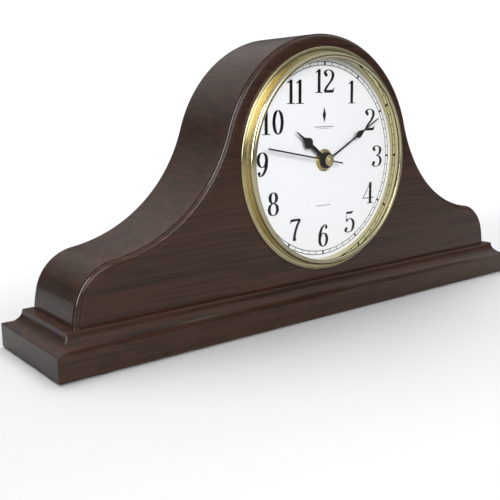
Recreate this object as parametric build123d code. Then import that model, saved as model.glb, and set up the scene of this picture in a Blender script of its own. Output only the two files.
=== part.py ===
"""Mantel clock with a hump-backed wooden case, a brass bezel and a quartz movement.

Millimetres. +X runs to the right seen from the front, the front faces -Y, +Z is up.
The origin is the middle of the footprint, on the surface that the clock stands on.
Every piece is a solid of its own, written to parts/NAME.step.
"""

import os
from math import acos, atan2, cos, floor, pi, radians, sin, sqrt, tan

from build123d import *

# ---------------------------------------------------------------- wooden case, driving sizes
BODY_WIDTH = 369.1  # across the foot of the body
BODY_DEPTH = 54.7  # front face to rear face
CASE_HEIGHT = 183.1  # standing surface to the top of the hump
BODY_SETBACK = 0.25  # the body stands this much behind the middle of the base

HUMP_RADIUS = 83.6
SHOULDER_HEIGHT = 57.1  # where the hollow flank ends and the shoulder begins
SHOULDER_RADIUS = 28.1
SHOULDER_START = 7.9  # slope of the outline there, degrees below level
SIDE_RADIUS = 75.1
SIDE_START = 75.75  # slope where the shoulder passes into the side

SIDE_LEDGE = 5.85  # flat ledge of the base beside the body
FACE_LEDGE = 3.05  # flat ledge of the base in front of and behind it
COVE_INSET = 9.6
COVE_TOP = 23.7
SLAB_TOP = 14.8
SLAB_ARRIS = 0.5
FELT_THICKNESS = 0.8
FELT_RADIUS = 7.0
FELT_INSET = 14.0  # centre of a felt foot from the edges of the base

FRONT_THICKNESS = 12.0
REAR_THICKNESS = 8.0
BAND_THICKNESS = 6.0
BEAD_RADIUS = 2.5  # rounding of the front edge
QUIRK = 0.6  # small step on each side of that rounding
REAR_ROUNDING = 2.0

BLOCK_LENGTH = 22.0
BLOCK_HEIGHT = 13.0
BLOCK_GAP = 0.5  # between a corner block and the two boards
SCREW_RADIUS = 2.0
SCREW_HEAD_RADIUS = 4.0
SCREW_HEAD_HEIGHT = 2.5
SCREW_RECESS = 4.0  # depth of the head's seat above the underside
SCREW_CLEARANCE = 0.2
SCREW_SPREAD = 0.5  # screw pair spacing as a share of the block's depth
SCREW_CROSS = (4.8, 1.0)  # length and width of the cross in a screw's head

# ---------------------------------------------------------------- dial opening and bezel
DIAL_RISE = 2.9  # dial centre above the hump's centre
DIAL_RECESS = 3.1  # dial face behind the wooden face
DIAL_RADIUS = 69.3
DIAL_THICKNESS = 0.8
DIAL_CLEARANCE = 0.2
DIAL_LEDGE = 7.3  # width of the wooden ledge behind the dial
WINDOW_RADIUS = 66.0  # visible dial, at the foot of the reflector
BEZEL_RADIUS = 72.7
BEZEL_BEAD_RADIUS = 0.75
BEZEL_BEAD_HEIGHT = 1.8  # front of the outer bead above the wood
BEZEL_GROOVE = 0.6  # groove floor below the outer bead
BEZEL_GROOVE_WIDTH = 1.5
BEZEL_HOLLOW = 0.25  # how far the wall behind the lip is hollowed
BEZEL_LIP_HEIGHT = 7.4  # front of the inner lip above the wood
BEZEL_LIP_RADIUS = 65.6
BEZEL_LIP_WIDTH = 3.4
BEZEL_LIP_ROUNDS = (2.3, 0.9)  # rounding of the lip's outer and inner edge
GLASS_THICKNESS = 1.5
GLASS_SEAT = 1.3  # how far the glass reaches behind the lip
GLASS_DEPTH = 1.0  # glass front behind the lip's front
SEAT_GAP = 0.05  # between round pieces that slip into each other

# ---------------------------------------------------------------- movement, driving sizes
MOVEMENT_SIZE = 56.0
MOVEMENT_DEPTH = 16.0
MOVEMENT_WALL = 1.2
MOVEMENT_SPLIT = 8.0  # depth of the joint between its two halves
MOVEMENT_CORNER = 3.0
MOVEMENT_INNER_CORNER = 0.5  # least rounding inside the case
RUBBER_THICKNESS = 0.8
RUBBER_RADIUS = 9.0
BUSH_RADIUS = 4.0
BUSH_FRONT = 2.1  # end of the threaded bush in front of the dial
WASHER_RADIUS = 7.35
WASHER_THICKNESS = 0.5
NUT_ACROSS_FLATS = 12.0
NUT_THICKNESS = 1.4
RUNNING_GAP = 0.06  # radial play of every shaft in its bearing
END_GAP = 0.15  # play along a shaft
SECOND_SHAFT = 0.6  # radius of the second arbor
MINUTE_TUBE = 1.65  # outer radius of the minute tube
HOUR_TUBE = 2.5  # outer radius of the hour tube
ARBOR = 0.5  # radius of the other arbors
COLLAR_RADIUS = 1.0  # collar between a wheel and its pinion
PIVOT_DEPTH = 0.8  # how deep an arbor sits in a case wall

BATTERY_RADIUS = 7.25
BATTERY_LENGTH = 49.5
BATTERY_NUB_LENGTH = 1.0
BATTERY_NUB_RADIUS = 2.7
BATTERY_GAP = 0.3
BATTERY_WALL = 1.0
CONTACT_THICKNESS = 0.4
CONTACT_BOW = 0.6  # half height of the bowed strip, as a share of the battery's radius
BATTERY_EDGE = 1.0  # movement wall around the battery bay

# ---------------------------------------------------------------- gear train
PRESSURE_ANGLE = 25.0
BACKLASH = 0.10  # taken off each tooth's thickness
ADDENDUM = 0.72  # tooth height above the pitch circle, in modules
DEDENDUM = 1.08
FLANK_STEPS = 3

TRAIN_DISTANCE = 10.8  # third and intermediate arbors from the hand axis
ROTOR_DISTANCE = 7.0
MOTION_DISTANCE = 9.0
ROTOR_TEETH = 8
INTERMEDIATE_TEETH = 48
INTERMEDIATE_PINION_TEETH = 10
SECOND_TEETH = 50
SECOND_PINION_TEETH = 8
THIRD_TEETH = 60
THIRD_PINION_TEETH = 8
CENTRE_TEETH = 64
CANNON_TEETH = 10
MINUTE_WHEEL_TEETH = 30
MINUTE_PINION_TEETH = 8
HOUR_TEETH = 32
KNOB_PINION_TEETH = 10

THIRD_BEARING = 8.0  # directions of the arbors, degrees above +X
INTERMEDIATE_BEARING = 120.0
ROTOR_BEARING = 90.0
MINUTE_WHEEL_BEARING = 185.0
KNOB_BEARING = 165.0

# depths behind the movement's front face: first and last face of each wheel
HOUR_PLANE = (1.4, 2.4)
CANNON_PLANE = (2.75, 3.85)
MINUTE_PINION_PLANE = (1.35, 2.6)
CENTRE_PLANE = (4.25, 5.15)
THIRD_PINION_PLANE = (4.05, 5.35)
THIRD_PLANE = (5.8, 6.6)
SECOND_PINION_PLANE = (5.6, 6.85)
SECOND_PLANE = (7.2, 8.0)
INTERMEDIATE_PINION_PLANE = (7.0, 8.2)
INTERMEDIATE_PLANE = (8.6, 9.4)
ROTOR_PINION_PLANE = (8.4, 9.6)
MAGNET_PLANE = (10.2, 12.8)
STATOR_PLANE = (11.0, 11.8)

MAGNET_RADIUS = 2.6
STATOR_GAP = 0.5
STATOR_LENGTH = 26.0
STATOR_BELOW = 3.4  # lower edge of the stator below the rotor
STATOR_ABOVE = 3.2
COIL_RISE = 6.9  # coil axis above the rotor
COIL_LENGTH = 15.0
COIL_RADIUS = 2.9
BOBBIN_RADIUS = 1.9
BOBBIN_FLANGE = 3.2
FLANGE_THICKNESS = 0.8
CORE_HALF = 0.9  # half side of the square iron core

BOARD_SIZE = (17.0, 20.0)
BOARD_CORNER = (9.2, 5.0)  # lower left corner from the hand axis
BOARD_PLANE = (10.8, 11.8)
CHIP_RADIUS = 3.6
CHIP_HEIGHT = 1.1
CHIP_DROP = 4.0  # below the board's centre
CRYSTAL_RADIUS = 1.5
CRYSTAL_LENGTH = 8.0
CRYSTAL_RISE = 5.0  # above the board's centre

KNOB_RADIUS = 5.0
KNOB_GAP = 0.5
KNOB_HEIGHT = 4.6
KNOB_FLUTES = 18
KNOB_FLUTE_RADIUS = 0.45

# ---------------------------------------------------------------- hands
HOUR_ANGLE = 305.8  # clockwise from twelve
MINUTE_ANGLE = 61.4
SECOND_ANGLE = 280.7
HAND_THICKNESS = 0.4
HOUR_HAND_LENGTH = 32.7
MINUTE_HAND_LENGTH = 55.0
SECOND_HAND_LENGTH = 53.1
SECOND_TAIL_LENGTH = 12.9
SECOND_HAND_HALF = 0.5
HOUR_BOSS_RADIUS = 5.2
MINUTE_BOSS_RADIUS = 4.8
SECOND_BOSS_RADIUS = 2.6
HAND_GAP = 0.35  # air between hands, and from the nut to the hour hand
HOUR_BOSS_HEIGHT = 1.1
MINUTE_BOSS_HEIGHT = 0.8
CAP_RADIUS = 3.7
CAP_HEIGHT = 1.6
CAP_SHARES = (0.62, 0.3)  # foot and crest of its raised middle, as shares of its radius
# half width of the stem, start and widest place of the spade, its half width there, and
# start and half width of the needle
HOUR_SPADE = (1.35, 17.2, 19.8, 3.65, 26.2, 0.8)
MINUTE_SPADE = (0.62, 31.0, 33.2, 2.35, 39.5, 0.6)
LOBE_REACH = 0.92  # bulge of the spade's lobe, as a share of its half width
LOBE_DROP = 0.1  # how far the lobe hangs, in the same share
NEEDLE_LEAN = -0.12  # sideways slope where the spade passes into the needle

# ---------------------------------------------------------------- rear opening
ACCESS_RADIUS = 52.0
ACCESS_CHAMFER = 1.0

# ---------------------------------------------------------------- derived places
TOP_HALF_WIDTH = BODY_WIDTH / 2 + SIDE_LEDGE
TOP_HALF_DEPTH = BODY_DEPTH / 2 + FACE_LEDGE
BASE_HALF_WIDTH = TOP_HALF_WIDTH + COVE_INSET
BASE_HALF_DEPTH = TOP_HALF_DEPTH + COVE_INSET
FACE_Y = BODY_SETBACK - BODY_DEPTH / 2
BACK_Y = BODY_SETBACK + BODY_DEPTH / 2
HUMP_Z = CASE_HEIGHT - HUMP_RADIUS
DIAL_Z = HUMP_Z + DIAL_RISE
DIAL_Y = FACE_Y + DIAL_RECESS
DIAL_BACK_Y = DIAL_Y + DIAL_THICKNESS
MOVEMENT_Y = DIAL_BACK_Y + RUBBER_THICKNESS
MOVEMENT_HALF = MOVEMENT_SIZE / 2
LIP_Y = FACE_Y - BEZEL_LIP_HEIGHT
GLASS_Y = LIP_Y + GLASS_DEPTH
GLASS_BACK_Y = GLASS_Y + GLASS_THICKNESS
GLASS_RADIUS = BEZEL_LIP_RADIUS + GLASS_SEAT
RING_BORE = GLASS_RADIUS + SEAT_GAP
SPIGOT_RADIUS = DIAL_RADIUS + DIAL_CLEARANCE / 2

NUT_Y = DIAL_Y - WASHER_THICKNESS - NUT_THICKNESS
HOUR_HAND_BACK = NUT_Y - HAND_GAP
HOUR_HAND_FRONT = HOUR_HAND_BACK - HOUR_BOSS_HEIGHT
MINUTE_HAND_BACK = HOUR_HAND_FRONT - HAND_GAP
MINUTE_HAND_FRONT = MINUTE_HAND_BACK - MINUTE_BOSS_HEIGHT
SECOND_HAND_BACK = MINUTE_HAND_FRONT - HAND_GAP
SECOND_HAND_FRONT = SECOND_HAND_BACK - HAND_THICKNESS
CAP_FRONT = SECOND_HAND_FRONT - CAP_HEIGHT
HAND_TIP = 0.35  # half width of a hand's blunt point


def polar(distance, bearing):
    """Point at a distance and a bearing in degrees above +X, in the dial's plane."""
    return (distance * cos(radians(bearing)), distance * sin(radians(bearing)))


THIRD_AT = polar(TRAIN_DISTANCE, THIRD_BEARING)
INTERMEDIATE_AT = polar(TRAIN_DISTANCE, INTERMEDIATE_BEARING)
ROTOR_STEP = polar(ROTOR_DISTANCE, ROTOR_BEARING)
ROTOR_AT = (INTERMEDIATE_AT[0] + ROTOR_STEP[0], INTERMEDIATE_AT[1] + ROTOR_STEP[1])
MINUTE_WHEEL_AT = polar(MOTION_DISTANCE, MINUTE_WHEEL_BEARING)
KNOB_STEP = polar(MOTION_DISTANCE, KNOB_BEARING)
KNOB_AT = (MINUTE_WHEEL_AT[0] + KNOB_STEP[0], MINUTE_WHEEL_AT[1] + KNOB_STEP[1])
COIL_AT = (ROTOR_AT[0], ROTOR_AT[1] + COIL_RISE)
BAY_BOTTOM = BATTERY_EDGE - MOVEMENT_HALF
BAY_TOP = BAY_BOTTOM + 2 * (BATTERY_RADIUS + BATTERY_GAP)
BATTERY_AT = (BAY_BOTTOM + BAY_TOP) / 2
BATTERY_DEPTH = MOVEMENT_DEPTH - BATTERY_RADIUS - BATTERY_GAP


# ---------------------------------------------------------------- helpers
def slab(face, y0, y1):
    """Push a face drawn in (x, z) from y0 to y1."""
    return Pos(0, y1, 0) * extrude(Plane.XZ * face, amount=y1 - y0)


def spin(points):
    """Turn a closed (radius, y) outline about the Y axis."""
    return revolve(make_face(Polyline(*points, close=True)), Axis.Y, 360)


def disc(radius, y0, y1, bore=0.0):
    """Round plate or tube about the Y axis."""
    face = Circle(radius)
    if bore:
        face -= Circle(bore)
    return slab(face, y0, y1)


def at_dial(shape, offset=(0.0, 0.0)):
    """Carry a shape from the Y axis to the hand axis, with an offset in (x, z)."""
    return Pos(offset[0], 0, DIAL_Z + offset[1]) * shape


def depth(value):
    """Y of a depth behind the movement's front face."""
    return MOVEMENT_Y + value


def write(name, shape):
    """Write one piece to its own file."""
    shape.label = name
    export_step(shape, f"parts/{name}.step")


# ---------------------------------------------------------------- case outline
def outline_arcs(inset):
    """Arcs of the body's right half, as (centre, radius, first and last heading).

    A heading is the angle from straight up to the point, seen from the arc's centre.
    The hump, the hollow flank, the shoulder and the side each pass smoothly into the next.
    The flank's radius and slope follow from the body's width and height.
    """
    b, c = radians(SHOULDER_START), radians(SIDE_START)
    shoulder_end = SHOULDER_HEIGHT - SHOULDER_RADIUS * (cos(b) - cos(c))
    side_z = shoulder_end - SIDE_RADIUS * cos(c)
    foot = acos(max(0.0, (COVE_TOP - side_z) / SIDE_RADIUS))
    reach = BODY_WIDTH / 2 - SHOULDER_RADIUS * (sin(c) - sin(b)) - SIDE_RADIUS * (sin(foot) - sin(c))
    below = SHOULDER_HEIGHT - HUMP_Z
    flank = (reach**2 + below**2 - HUMP_RADIUS**2) / (
        2 * (HUMP_RADIUS - reach * sin(b) - below * cos(b))
    )
    a = atan2(reach + flank * sin(b), below + flank * cos(b))
    hump = (0.0, HUMP_Z)
    hollow = ((HUMP_RADIUS + flank) * sin(a), HUMP_Z + (HUMP_RADIUS + flank) * cos(a))
    shoulder = (hollow[0] - (flank + SHOULDER_RADIUS) * sin(b), hollow[1] - (flank + SHOULDER_RADIUS) * cos(b))
    side = (shoulder[0] - (SIDE_RADIUS - SHOULDER_RADIUS) * sin(c), side_z)
    foot_inset = acos(max(0.0, (COVE_TOP - side_z) / (SIDE_RADIUS - inset)))
    return [
        (hump, HUMP_RADIUS - inset, 0.0, a),
        (hollow, -(flank + inset), a, b),
        (shoulder, SHOULDER_RADIUS - inset, b, c),
        (side, SIDE_RADIUS - inset, c, foot_inset),
    ]


def arc_point(arc, heading):
    """Point on an arc; a hollow arc has a negative radius."""
    centre, radius = arc[0], arc[1]
    return (centre[0] + radius * sin(heading), centre[1] + radius * cos(heading))


def body_face(inset=0.0):
    """Outline of the body in (x, z), drawn in from its top and sides by an inset."""
    arcs = outline_arcs(inset)
    hump = arcs[0]
    edges = [ThreePointArc(arc_point(hump, -hump[3]), arc_point(hump, 0.0), arc_point(hump, hump[3]))]
    for arc in arcs[1:]:
        headings = (arc[2], (arc[2] + arc[3]) / 2, arc[3])
        points = [arc_point(arc, h) for h in headings]
        edges.append(ThreePointArc(*points))
        edges.append(ThreePointArc(*[(-x, z) for x, z in points]))
    foot = arc_point(arcs[-1], arcs[-1][3])
    edges.append(Line((-foot[0], foot[1]), foot))
    return make_face(edges)


def rounded_edges(shape, y):
    """Top and side edges of a shape's face at y, without its straight foot."""
    return [
        edge
        for edge in shape.edges()
        if abs(edge.center().Y - y) < 1e-3
        and edge.bounding_box().size.Y < 1e-3
        and edge.bounding_box().max.Z > COVE_TOP + 1e-3
    ]


# ---------------------------------------------------------------- case pieces
def base_plinth():
    """Slab with a hollow cove worked round its top, mitred at the corners."""

    def profile(half, top_half):
        corner = COVE_INSET * cos(pi / 4)
        drop = (COVE_TOP - SLAB_TOP) * cos(pi / 4)
        right = [
            Line((half - SLAB_ARRIS, FELT_THICKNESS), (half, FELT_THICKNESS + SLAB_ARRIS)),
            Line((half, FELT_THICKNESS + SLAB_ARRIS), (half, SLAB_TOP)),
            ThreePointArc((half, SLAB_TOP), (half - corner, COVE_TOP - drop), (top_half, COVE_TOP)),
        ]
        left = [mirror(edge, Plane.YZ) for edge in right]
        ends = [
            Line((top_half, COVE_TOP), (-top_half, COVE_TOP)),
            Line((SLAB_ARRIS - half, FELT_THICKNESS), (half - SLAB_ARRIS, FELT_THICKNESS)),
        ]
        return make_face(right + left + ends)

    along_y = slab(profile(BASE_HALF_WIDTH, TOP_HALF_WIDTH), -BASE_HALF_DEPTH, BASE_HALF_DEPTH)
    along_x = slab(profile(BASE_HALF_DEPTH, TOP_HALF_DEPTH), -BASE_HALF_WIDTH, BASE_HALF_WIDTH)
    plinth = along_y & (Rot(0, 0, 90) * along_x)
    for x, y in screw_places():
        plinth -= Pos(x, y, 0) * Cylinder(
            SCREW_RADIUS + SCREW_CLEARANCE, COVE_TOP + 1, align=(Align.CENTER, Align.CENTER, Align.MIN)
        )
        plinth -= Pos(x, y, 0) * Cylinder(
            SCREW_HEAD_RADIUS + SCREW_CLEARANCE,
            FELT_THICKNESS + SCREW_RECESS,
            align=(Align.CENTER, Align.CENTER, Align.MIN),
        )
    return plinth


def board_room():
    """Y of the front board's back and of the rear board's front."""
    return FACE_Y + FRONT_THICKNESS, BACK_Y - REAR_THICKNESS


def block_span():
    """First and last x of the right corner block, under the shoulder."""
    centre, radius = outline_arcs(BAND_THICKNESS)[2][:2]
    outer = centre[0] + sqrt(radius**2 - (COVE_TOP + BLOCK_HEIGHT + BLOCK_GAP - centre[1]) ** 2) - BLOCK_GAP
    return outer - BLOCK_LENGTH, outer


def screw_places():
    """Centres of the four base screws."""
    first, last = block_span()
    front, rear = board_room()
    spread = SCREW_SPREAD * (rear - front) / 2
    middle = (front + rear) / 2
    return [(s * (first + last) / 2, middle + t * spread) for s in (-1, 1) for t in (-1, 1)]


def corner_blocks():
    """Two blocks glued inside the body that take the screws from the base."""
    first, last = block_span()
    front, rear = board_room()
    blocks = []
    for side in (-1, 1):
        block = Pos(side * (first + last) / 2, (front + rear) / 2, COVE_TOP) * Box(
            last - first,
            rear - front - 2 * BLOCK_GAP,
            BLOCK_HEIGHT,
            align=(Align.CENTER, Align.CENTER, Align.MIN),
        )
        for x, y in screw_places():
            if x * side > 0:
                block -= Pos(x, y, COVE_TOP) * Cylinder(
                    SCREW_RADIUS, 2 * BLOCK_HEIGHT, align=(Align.CENTER, Align.CENTER, Align.CENTER)
                )
        blocks.append(block)
    return Compound(children=blocks)


def base_screws():
    """Four pan-head wood screws, driven up from under the base."""
    seat = FELT_THICKNESS + SCREW_RECESS
    length = COVE_TOP + BLOCK_HEIGHT - BLOCK_GAP - seat
    screws = []
    for x, y in screw_places():
        shank = Cylinder(SCREW_RADIUS, length, align=(Align.CENTER, Align.CENTER, Align.MIN))
        head = Pos(0, 0, -SCREW_HEAD_HEIGHT) * Cylinder(
            SCREW_HEAD_RADIUS, SCREW_HEAD_HEIGHT, align=(Align.CENTER, Align.CENTER, Align.MIN)
        )
        length_across, width = SCREW_CROSS
        cross = Box(length_across, width, 2 * width) + Box(width, length_across, 2 * width)
        screws.append(Pos(x, y, seat) * (shank + head - Pos(0, 0, -SCREW_HEAD_HEIGHT) * cross))
    return Compound(children=screws)


def felt_feet():
    """Four round felt pads under the base."""
    pads = []
    for x in (FELT_INSET - BASE_HALF_WIDTH, BASE_HALF_WIDTH - FELT_INSET):
        for y in (FELT_INSET - BASE_HALF_DEPTH, BASE_HALF_DEPTH - FELT_INSET):
            pads.append(
                Pos(x, y, 0)
                * Cylinder(FELT_RADIUS, FELT_THICKNESS, align=(Align.CENTER, Align.CENTER, Align.MIN))
            )
    return Compound(children=pads)


def front_panel():
    """Front board: a rounded bead between two small steps, and the dial's opening."""
    panel_back = board_room()[0]
    board = slab(body_face(QUIRK), FACE_Y + QUIRK, panel_back)
    board = fillet(rounded_edges(board, FACE_Y + QUIRK), BEAD_RADIUS)
    board += slab(body_face(), FACE_Y + QUIRK + BEAD_RADIUS, panel_back)
    board += slab(body_face(QUIRK + BEAD_RADIUS), FACE_Y, panel_back)
    seat = disc(DIAL_RADIUS + DIAL_CLEARANCE, FACE_Y - 1, DIAL_BACK_Y)
    hole = disc(DIAL_RADIUS + DIAL_CLEARANCE - DIAL_LEDGE, FACE_Y - 1, panel_back + 1)
    return board - at_dial(seat) - at_dial(hole)


def case_band():
    """Bent band that closes the top and the sides between the two boards."""
    front, rear = board_room()
    outer = slab(body_face(), front, rear)
    inner = slab(body_face(BAND_THICKNESS), front - 1, rear + 1)
    floor_cut = Pos(0, (front + rear) / 2, COVE_TOP) * Box(
        2 * arc_point(outline_arcs(BAND_THICKNESS)[-1], outline_arcs(BAND_THICKNESS)[-1][3])[0],
        rear - front + 2,
        2,
    )
    return outer - inner - floor_cut


def rear_panel():
    """Rear board with a rounded outer edge and a round opening for the hand."""
    rear_front = board_room()[1]
    board = slab(body_face(), rear_front, BACK_Y)
    board = fillet(rounded_edges(board, BACK_Y), REAR_ROUNDING)
    opening = spin(
        [
            (0, rear_front - 1),
            (ACCESS_RADIUS, rear_front - 1),
            (ACCESS_RADIUS, BACK_Y - ACCESS_CHAMFER),
            (ACCESS_RADIUS + ACCESS_CHAMFER + 1, BACK_Y + 1),
            (0, BACK_Y + 1),
        ]
    )
    return board - at_dial(opening)


# ---------------------------------------------------------------- dial and bezel
def bezel_ring():
    """Brass ring: outer bead, groove, hollow wall and wide rounded lip, with a spigot behind."""
    bead, top = BEZEL_BEAD_RADIUS, FACE_Y - BEZEL_BEAD_HEIGHT
    bead_inner = BEZEL_RADIUS - 2 * bead
    groove_y = top + BEZEL_GROOVE
    wall_foot = bead_inner - BEZEL_GROOVE_WIDTH
    lip_outer = BEZEL_LIP_RADIUS + BEZEL_LIP_WIDTH
    outer, inner = BEZEL_LIP_ROUNDS
    wall_middle = ((wall_foot + lip_outer) / 2 - BEZEL_HOLLOW, (groove_y + LIP_Y + outer) / 2)
    outer_middle = (lip_outer - outer * (1 - cos(pi / 4)), LIP_Y + outer * (1 - sin(pi / 4)))
    inner_middle = (BEZEL_LIP_RADIUS + inner * (1 - cos(pi / 4)), LIP_Y + inner * (1 - sin(pi / 4)))
    outline = [
        Line((RING_BORE, DIAL_Y), (SPIGOT_RADIUS, DIAL_Y)),
        Line((SPIGOT_RADIUS, DIAL_Y), (SPIGOT_RADIUS, FACE_Y)),
        Line((SPIGOT_RADIUS, FACE_Y), (BEZEL_RADIUS, FACE_Y)),
        Line((BEZEL_RADIUS, FACE_Y), (BEZEL_RADIUS, top + bead)),
        ThreePointArc((BEZEL_RADIUS, top + bead), (BEZEL_RADIUS - bead, top), (bead_inner, top + bead)),
        Line((bead_inner, top + bead), (wall_foot, groove_y)),
        ThreePointArc((wall_foot, groove_y), wall_middle, (lip_outer, LIP_Y + outer)),
        ThreePointArc((lip_outer, LIP_Y + outer), outer_middle, (lip_outer - outer, LIP_Y)),
        Line((lip_outer - outer, LIP_Y), (BEZEL_LIP_RADIUS + inner, LIP_Y)),
        ThreePointArc((BEZEL_LIP_RADIUS + inner, LIP_Y), inner_middle, (BEZEL_LIP_RADIUS, LIP_Y + inner)),
        Line((BEZEL_LIP_RADIUS, LIP_Y + inner), (BEZEL_LIP_RADIUS, GLASS_Y)),
        Line((BEZEL_LIP_RADIUS, GLASS_Y), (RING_BORE, GLASS_Y)),
        Line((RING_BORE, GLASS_Y), (RING_BORE, DIAL_Y)),
    ]
    return at_dial(revolve(make_face(outline), Axis.Y, 360))


def reflector_ring():
    """Bright inner wall that holds the glass against the lip and stands on the dial."""
    wall = [
        (BEZEL_LIP_RADIUS, GLASS_BACK_Y),
        (GLASS_RADIUS, GLASS_BACK_Y),
        (GLASS_RADIUS, DIAL_Y),
        (WINDOW_RADIUS, DIAL_Y),
    ]
    return at_dial(spin(wall))


def glass_lens():
    """Flat glass."""
    return at_dial(disc(GLASS_RADIUS, GLASS_Y, GLASS_BACK_Y))


def dial_plate():
    """Printed dial plate with its centre hole."""
    return at_dial(disc(DIAL_RADIUS, DIAL_Y, DIAL_BACK_Y, BUSH_RADIUS + SEAT_GAP))


# ---------------------------------------------------------------- movement case and fixings
def movement_outline(inset):
    """Rounded square of the movement case, drawn in by an inset."""
    side = MOVEMENT_SIZE - 2 * inset
    return RectangleRounded(side, side, max(MOVEMENT_CORNER - inset, MOVEMENT_INNER_CORNER))


def bearing_holes(y0, y1, places):
    """Blind bearing holes for arbors, from y0 to y1."""
    holes = [at_dial(disc(radius + RUNNING_GAP, y0, y1), place) for place, radius in places]
    return Compound(children=holes)


def bay_wall(d0, d1):
    """Wall above the battery bay, between two depths."""
    wall = Pos(0, BAY_TOP + BATTERY_WALL / 2) * Rectangle(MOVEMENT_SIZE - MOVEMENT_WALL, BATTERY_WALL)
    return at_dial(slab(wall, depth(d0), depth(d1)))


def movement_case_front():
    """Front shell: face plate, side walls, bearing holes and the minute wheel's post."""
    shell = slab(movement_outline(0), depth(0), depth(MOVEMENT_SPLIT))
    shell -= slab(movement_outline(MOVEMENT_WALL), depth(MOVEMENT_WALL), depth(MOVEMENT_SPLIT + 1))
    shell = at_dial(shell) + bay_wall(MOVEMENT_WALL / 2, MOVEMENT_SPLIT)
    shell -= at_dial(disc(BUSH_RADIUS, depth(-1), depth(MOVEMENT_WALL + 1)))
    seat = at_dial(slab(battery_bay(), depth(MOVEMENT_WALL / 2), depth(MOVEMENT_SPLIT + 1)))
    shell -= seat
    post = disc(ARBOR, depth(MOVEMENT_WALL / 2), depth(CANNON_PLANE[1] + END_GAP))
    shell += at_dial(post, MINUTE_WHEEL_AT)
    arbors = [(THIRD_AT, ARBOR), (INTERMEDIATE_AT, ARBOR), (ROTOR_AT, ARBOR), (KNOB_AT, ARBOR)]
    return shell - bearing_holes(depth(MOVEMENT_WALL - PIVOT_DEPTH), depth(MOVEMENT_WALL + 1), arbors)


def battery_bay():
    """Opening of the battery bay, seen from behind."""
    width = MOVEMENT_SIZE - 2 * BATTERY_EDGE
    return Pos(0, (BAY_BOTTOM + BAY_TOP) / 2) * Rectangle(width, BAY_TOP - BAY_BOTTOM)


def movement_case_back():
    """Rear shell: back plate, side walls, bearing holes, open battery bay, knob hole."""
    inner = MOVEMENT_DEPTH - MOVEMENT_WALL
    shell = slab(movement_outline(0), depth(MOVEMENT_SPLIT), depth(MOVEMENT_DEPTH))
    shell -= slab(movement_outline(MOVEMENT_WALL), depth(MOVEMENT_SPLIT - 1), depth(inner))
    shell = at_dial(shell) + bay_wall(MOVEMENT_SPLIT, MOVEMENT_DEPTH)
    shell -= at_dial(slab(battery_bay(), depth(MOVEMENT_SPLIT - 1), depth(MOVEMENT_DEPTH + 1)))
    shell -= at_dial(disc(ARBOR + RUNNING_GAP, depth(inner - 1), depth(MOVEMENT_DEPTH + 1)), KNOB_AT)
    arbors = [(THIRD_AT, ARBOR), (INTERMEDIATE_AT, ARBOR), (ROTOR_AT, ARBOR), ((0, 0), SECOND_SHAFT)]
    return shell - bearing_holes(depth(inner - 1), depth(inner + PIVOT_DEPTH), arbors)


def threaded_bush():
    """Brass bush that carries the hands and takes the nut."""
    tube = disc(BUSH_RADIUS, DIAL_Y - BUSH_FRONT, depth(MOVEMENT_WALL), HOUR_TUBE + RUNNING_GAP)
    return at_dial(tube)


def rubber_washer():
    """Rubber washer between the movement and the dial."""
    return at_dial(disc(RUBBER_RADIUS, DIAL_BACK_Y, MOVEMENT_Y, BUSH_RADIUS + SEAT_GAP))


def brass_washer():
    """Round brass washer on the face of the dial."""
    return at_dial(disc(WASHER_RADIUS, DIAL_Y - WASHER_THICKNESS, DIAL_Y, BUSH_RADIUS + SEAT_GAP))


def hex_nut():
    """Thin hexagon nut with its corners turned off."""
    face = RegularPolygon(NUT_ACROSS_FLATS / 2, 6, major_radius=False) - Circle(BUSH_RADIUS)
    nut = slab(face, NUT_Y, NUT_Y + NUT_THICKNESS)
    corner = NUT_ACROSS_FLATS / 2 / cos(pi / 6)
    bevel = [
        (0, NUT_Y),
        (NUT_ACROSS_FLATS / 2, NUT_Y),
        (corner + NUT_THICKNESS, NUT_Y + NUT_THICKNESS),
        (0, NUT_Y + NUT_THICKNESS),
    ]
    return at_dial(nut & spin(bevel))


# ---------------------------------------------------------------- gears
def involute(angle):
    """Involute function of an angle in radians."""
    return tan(angle) - angle


def root_radius(teeth, module):
    """Radius at the foot of a gear's teeth."""
    return module * teeth / 2 - DEDENDUM * module


def gear_face(teeth, module, phase):
    """Toothed outline: a tooth's middle points along the phase, in degrees above +X."""
    pitch = module * teeth / 2
    base = pitch * cos(radians(PRESSURE_ANGLE))
    tip, root = pitch + ADDENDUM * module, root_radius(teeth, module)
    half_pitch = (pi * module / 2 - BACKLASH) / (2 * pitch)
    start = max(base, root)
    radii = [start + (tip - start) * step / FLANK_STEPS for step in range(FLANK_STEPS + 1)]
    flank = [(r, half_pitch + involute(radians(PRESSURE_ANGLE)) - involute(acos(base / r))) for r in radii]
    if root < base:
        flank.insert(0, (root, flank[0][1]))
    points = []
    for tooth in range(teeth):
        middle = radians(phase) + 2 * pi * tooth / teeth
        points += [(r * cos(middle - a), r * sin(middle - a)) for r, a in flank]
        points += [(r * cos(middle + a), r * sin(middle + a)) for r, a in reversed(flank)]
    return make_face(Polyline(*points, close=True))


def mesh_phase(teeth, phase, bearing, other_teeth):
    """Phase of a gear that meshes with another, which lies along the bearing from it."""
    turn = (bearing - phase) * teeth / 360
    share = turn - floor(turn)
    return bearing + 180 - (0.5 - share) * 360 / other_teeth


def gear(teeth, module, phase, plane, bore=0.0):
    """Toothed wheel between two depths, about the Y axis."""
    face = gear_face(teeth, module, phase)
    if bore:
        face -= Circle(bore)
    return slab(face, depth(plane[0]), depth(plane[1]))


def pair_module(distance, teeth, other_teeth):
    """Module that puts two gears in mesh at a distance."""
    return 2 * distance / (teeth + other_teeth)


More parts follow.
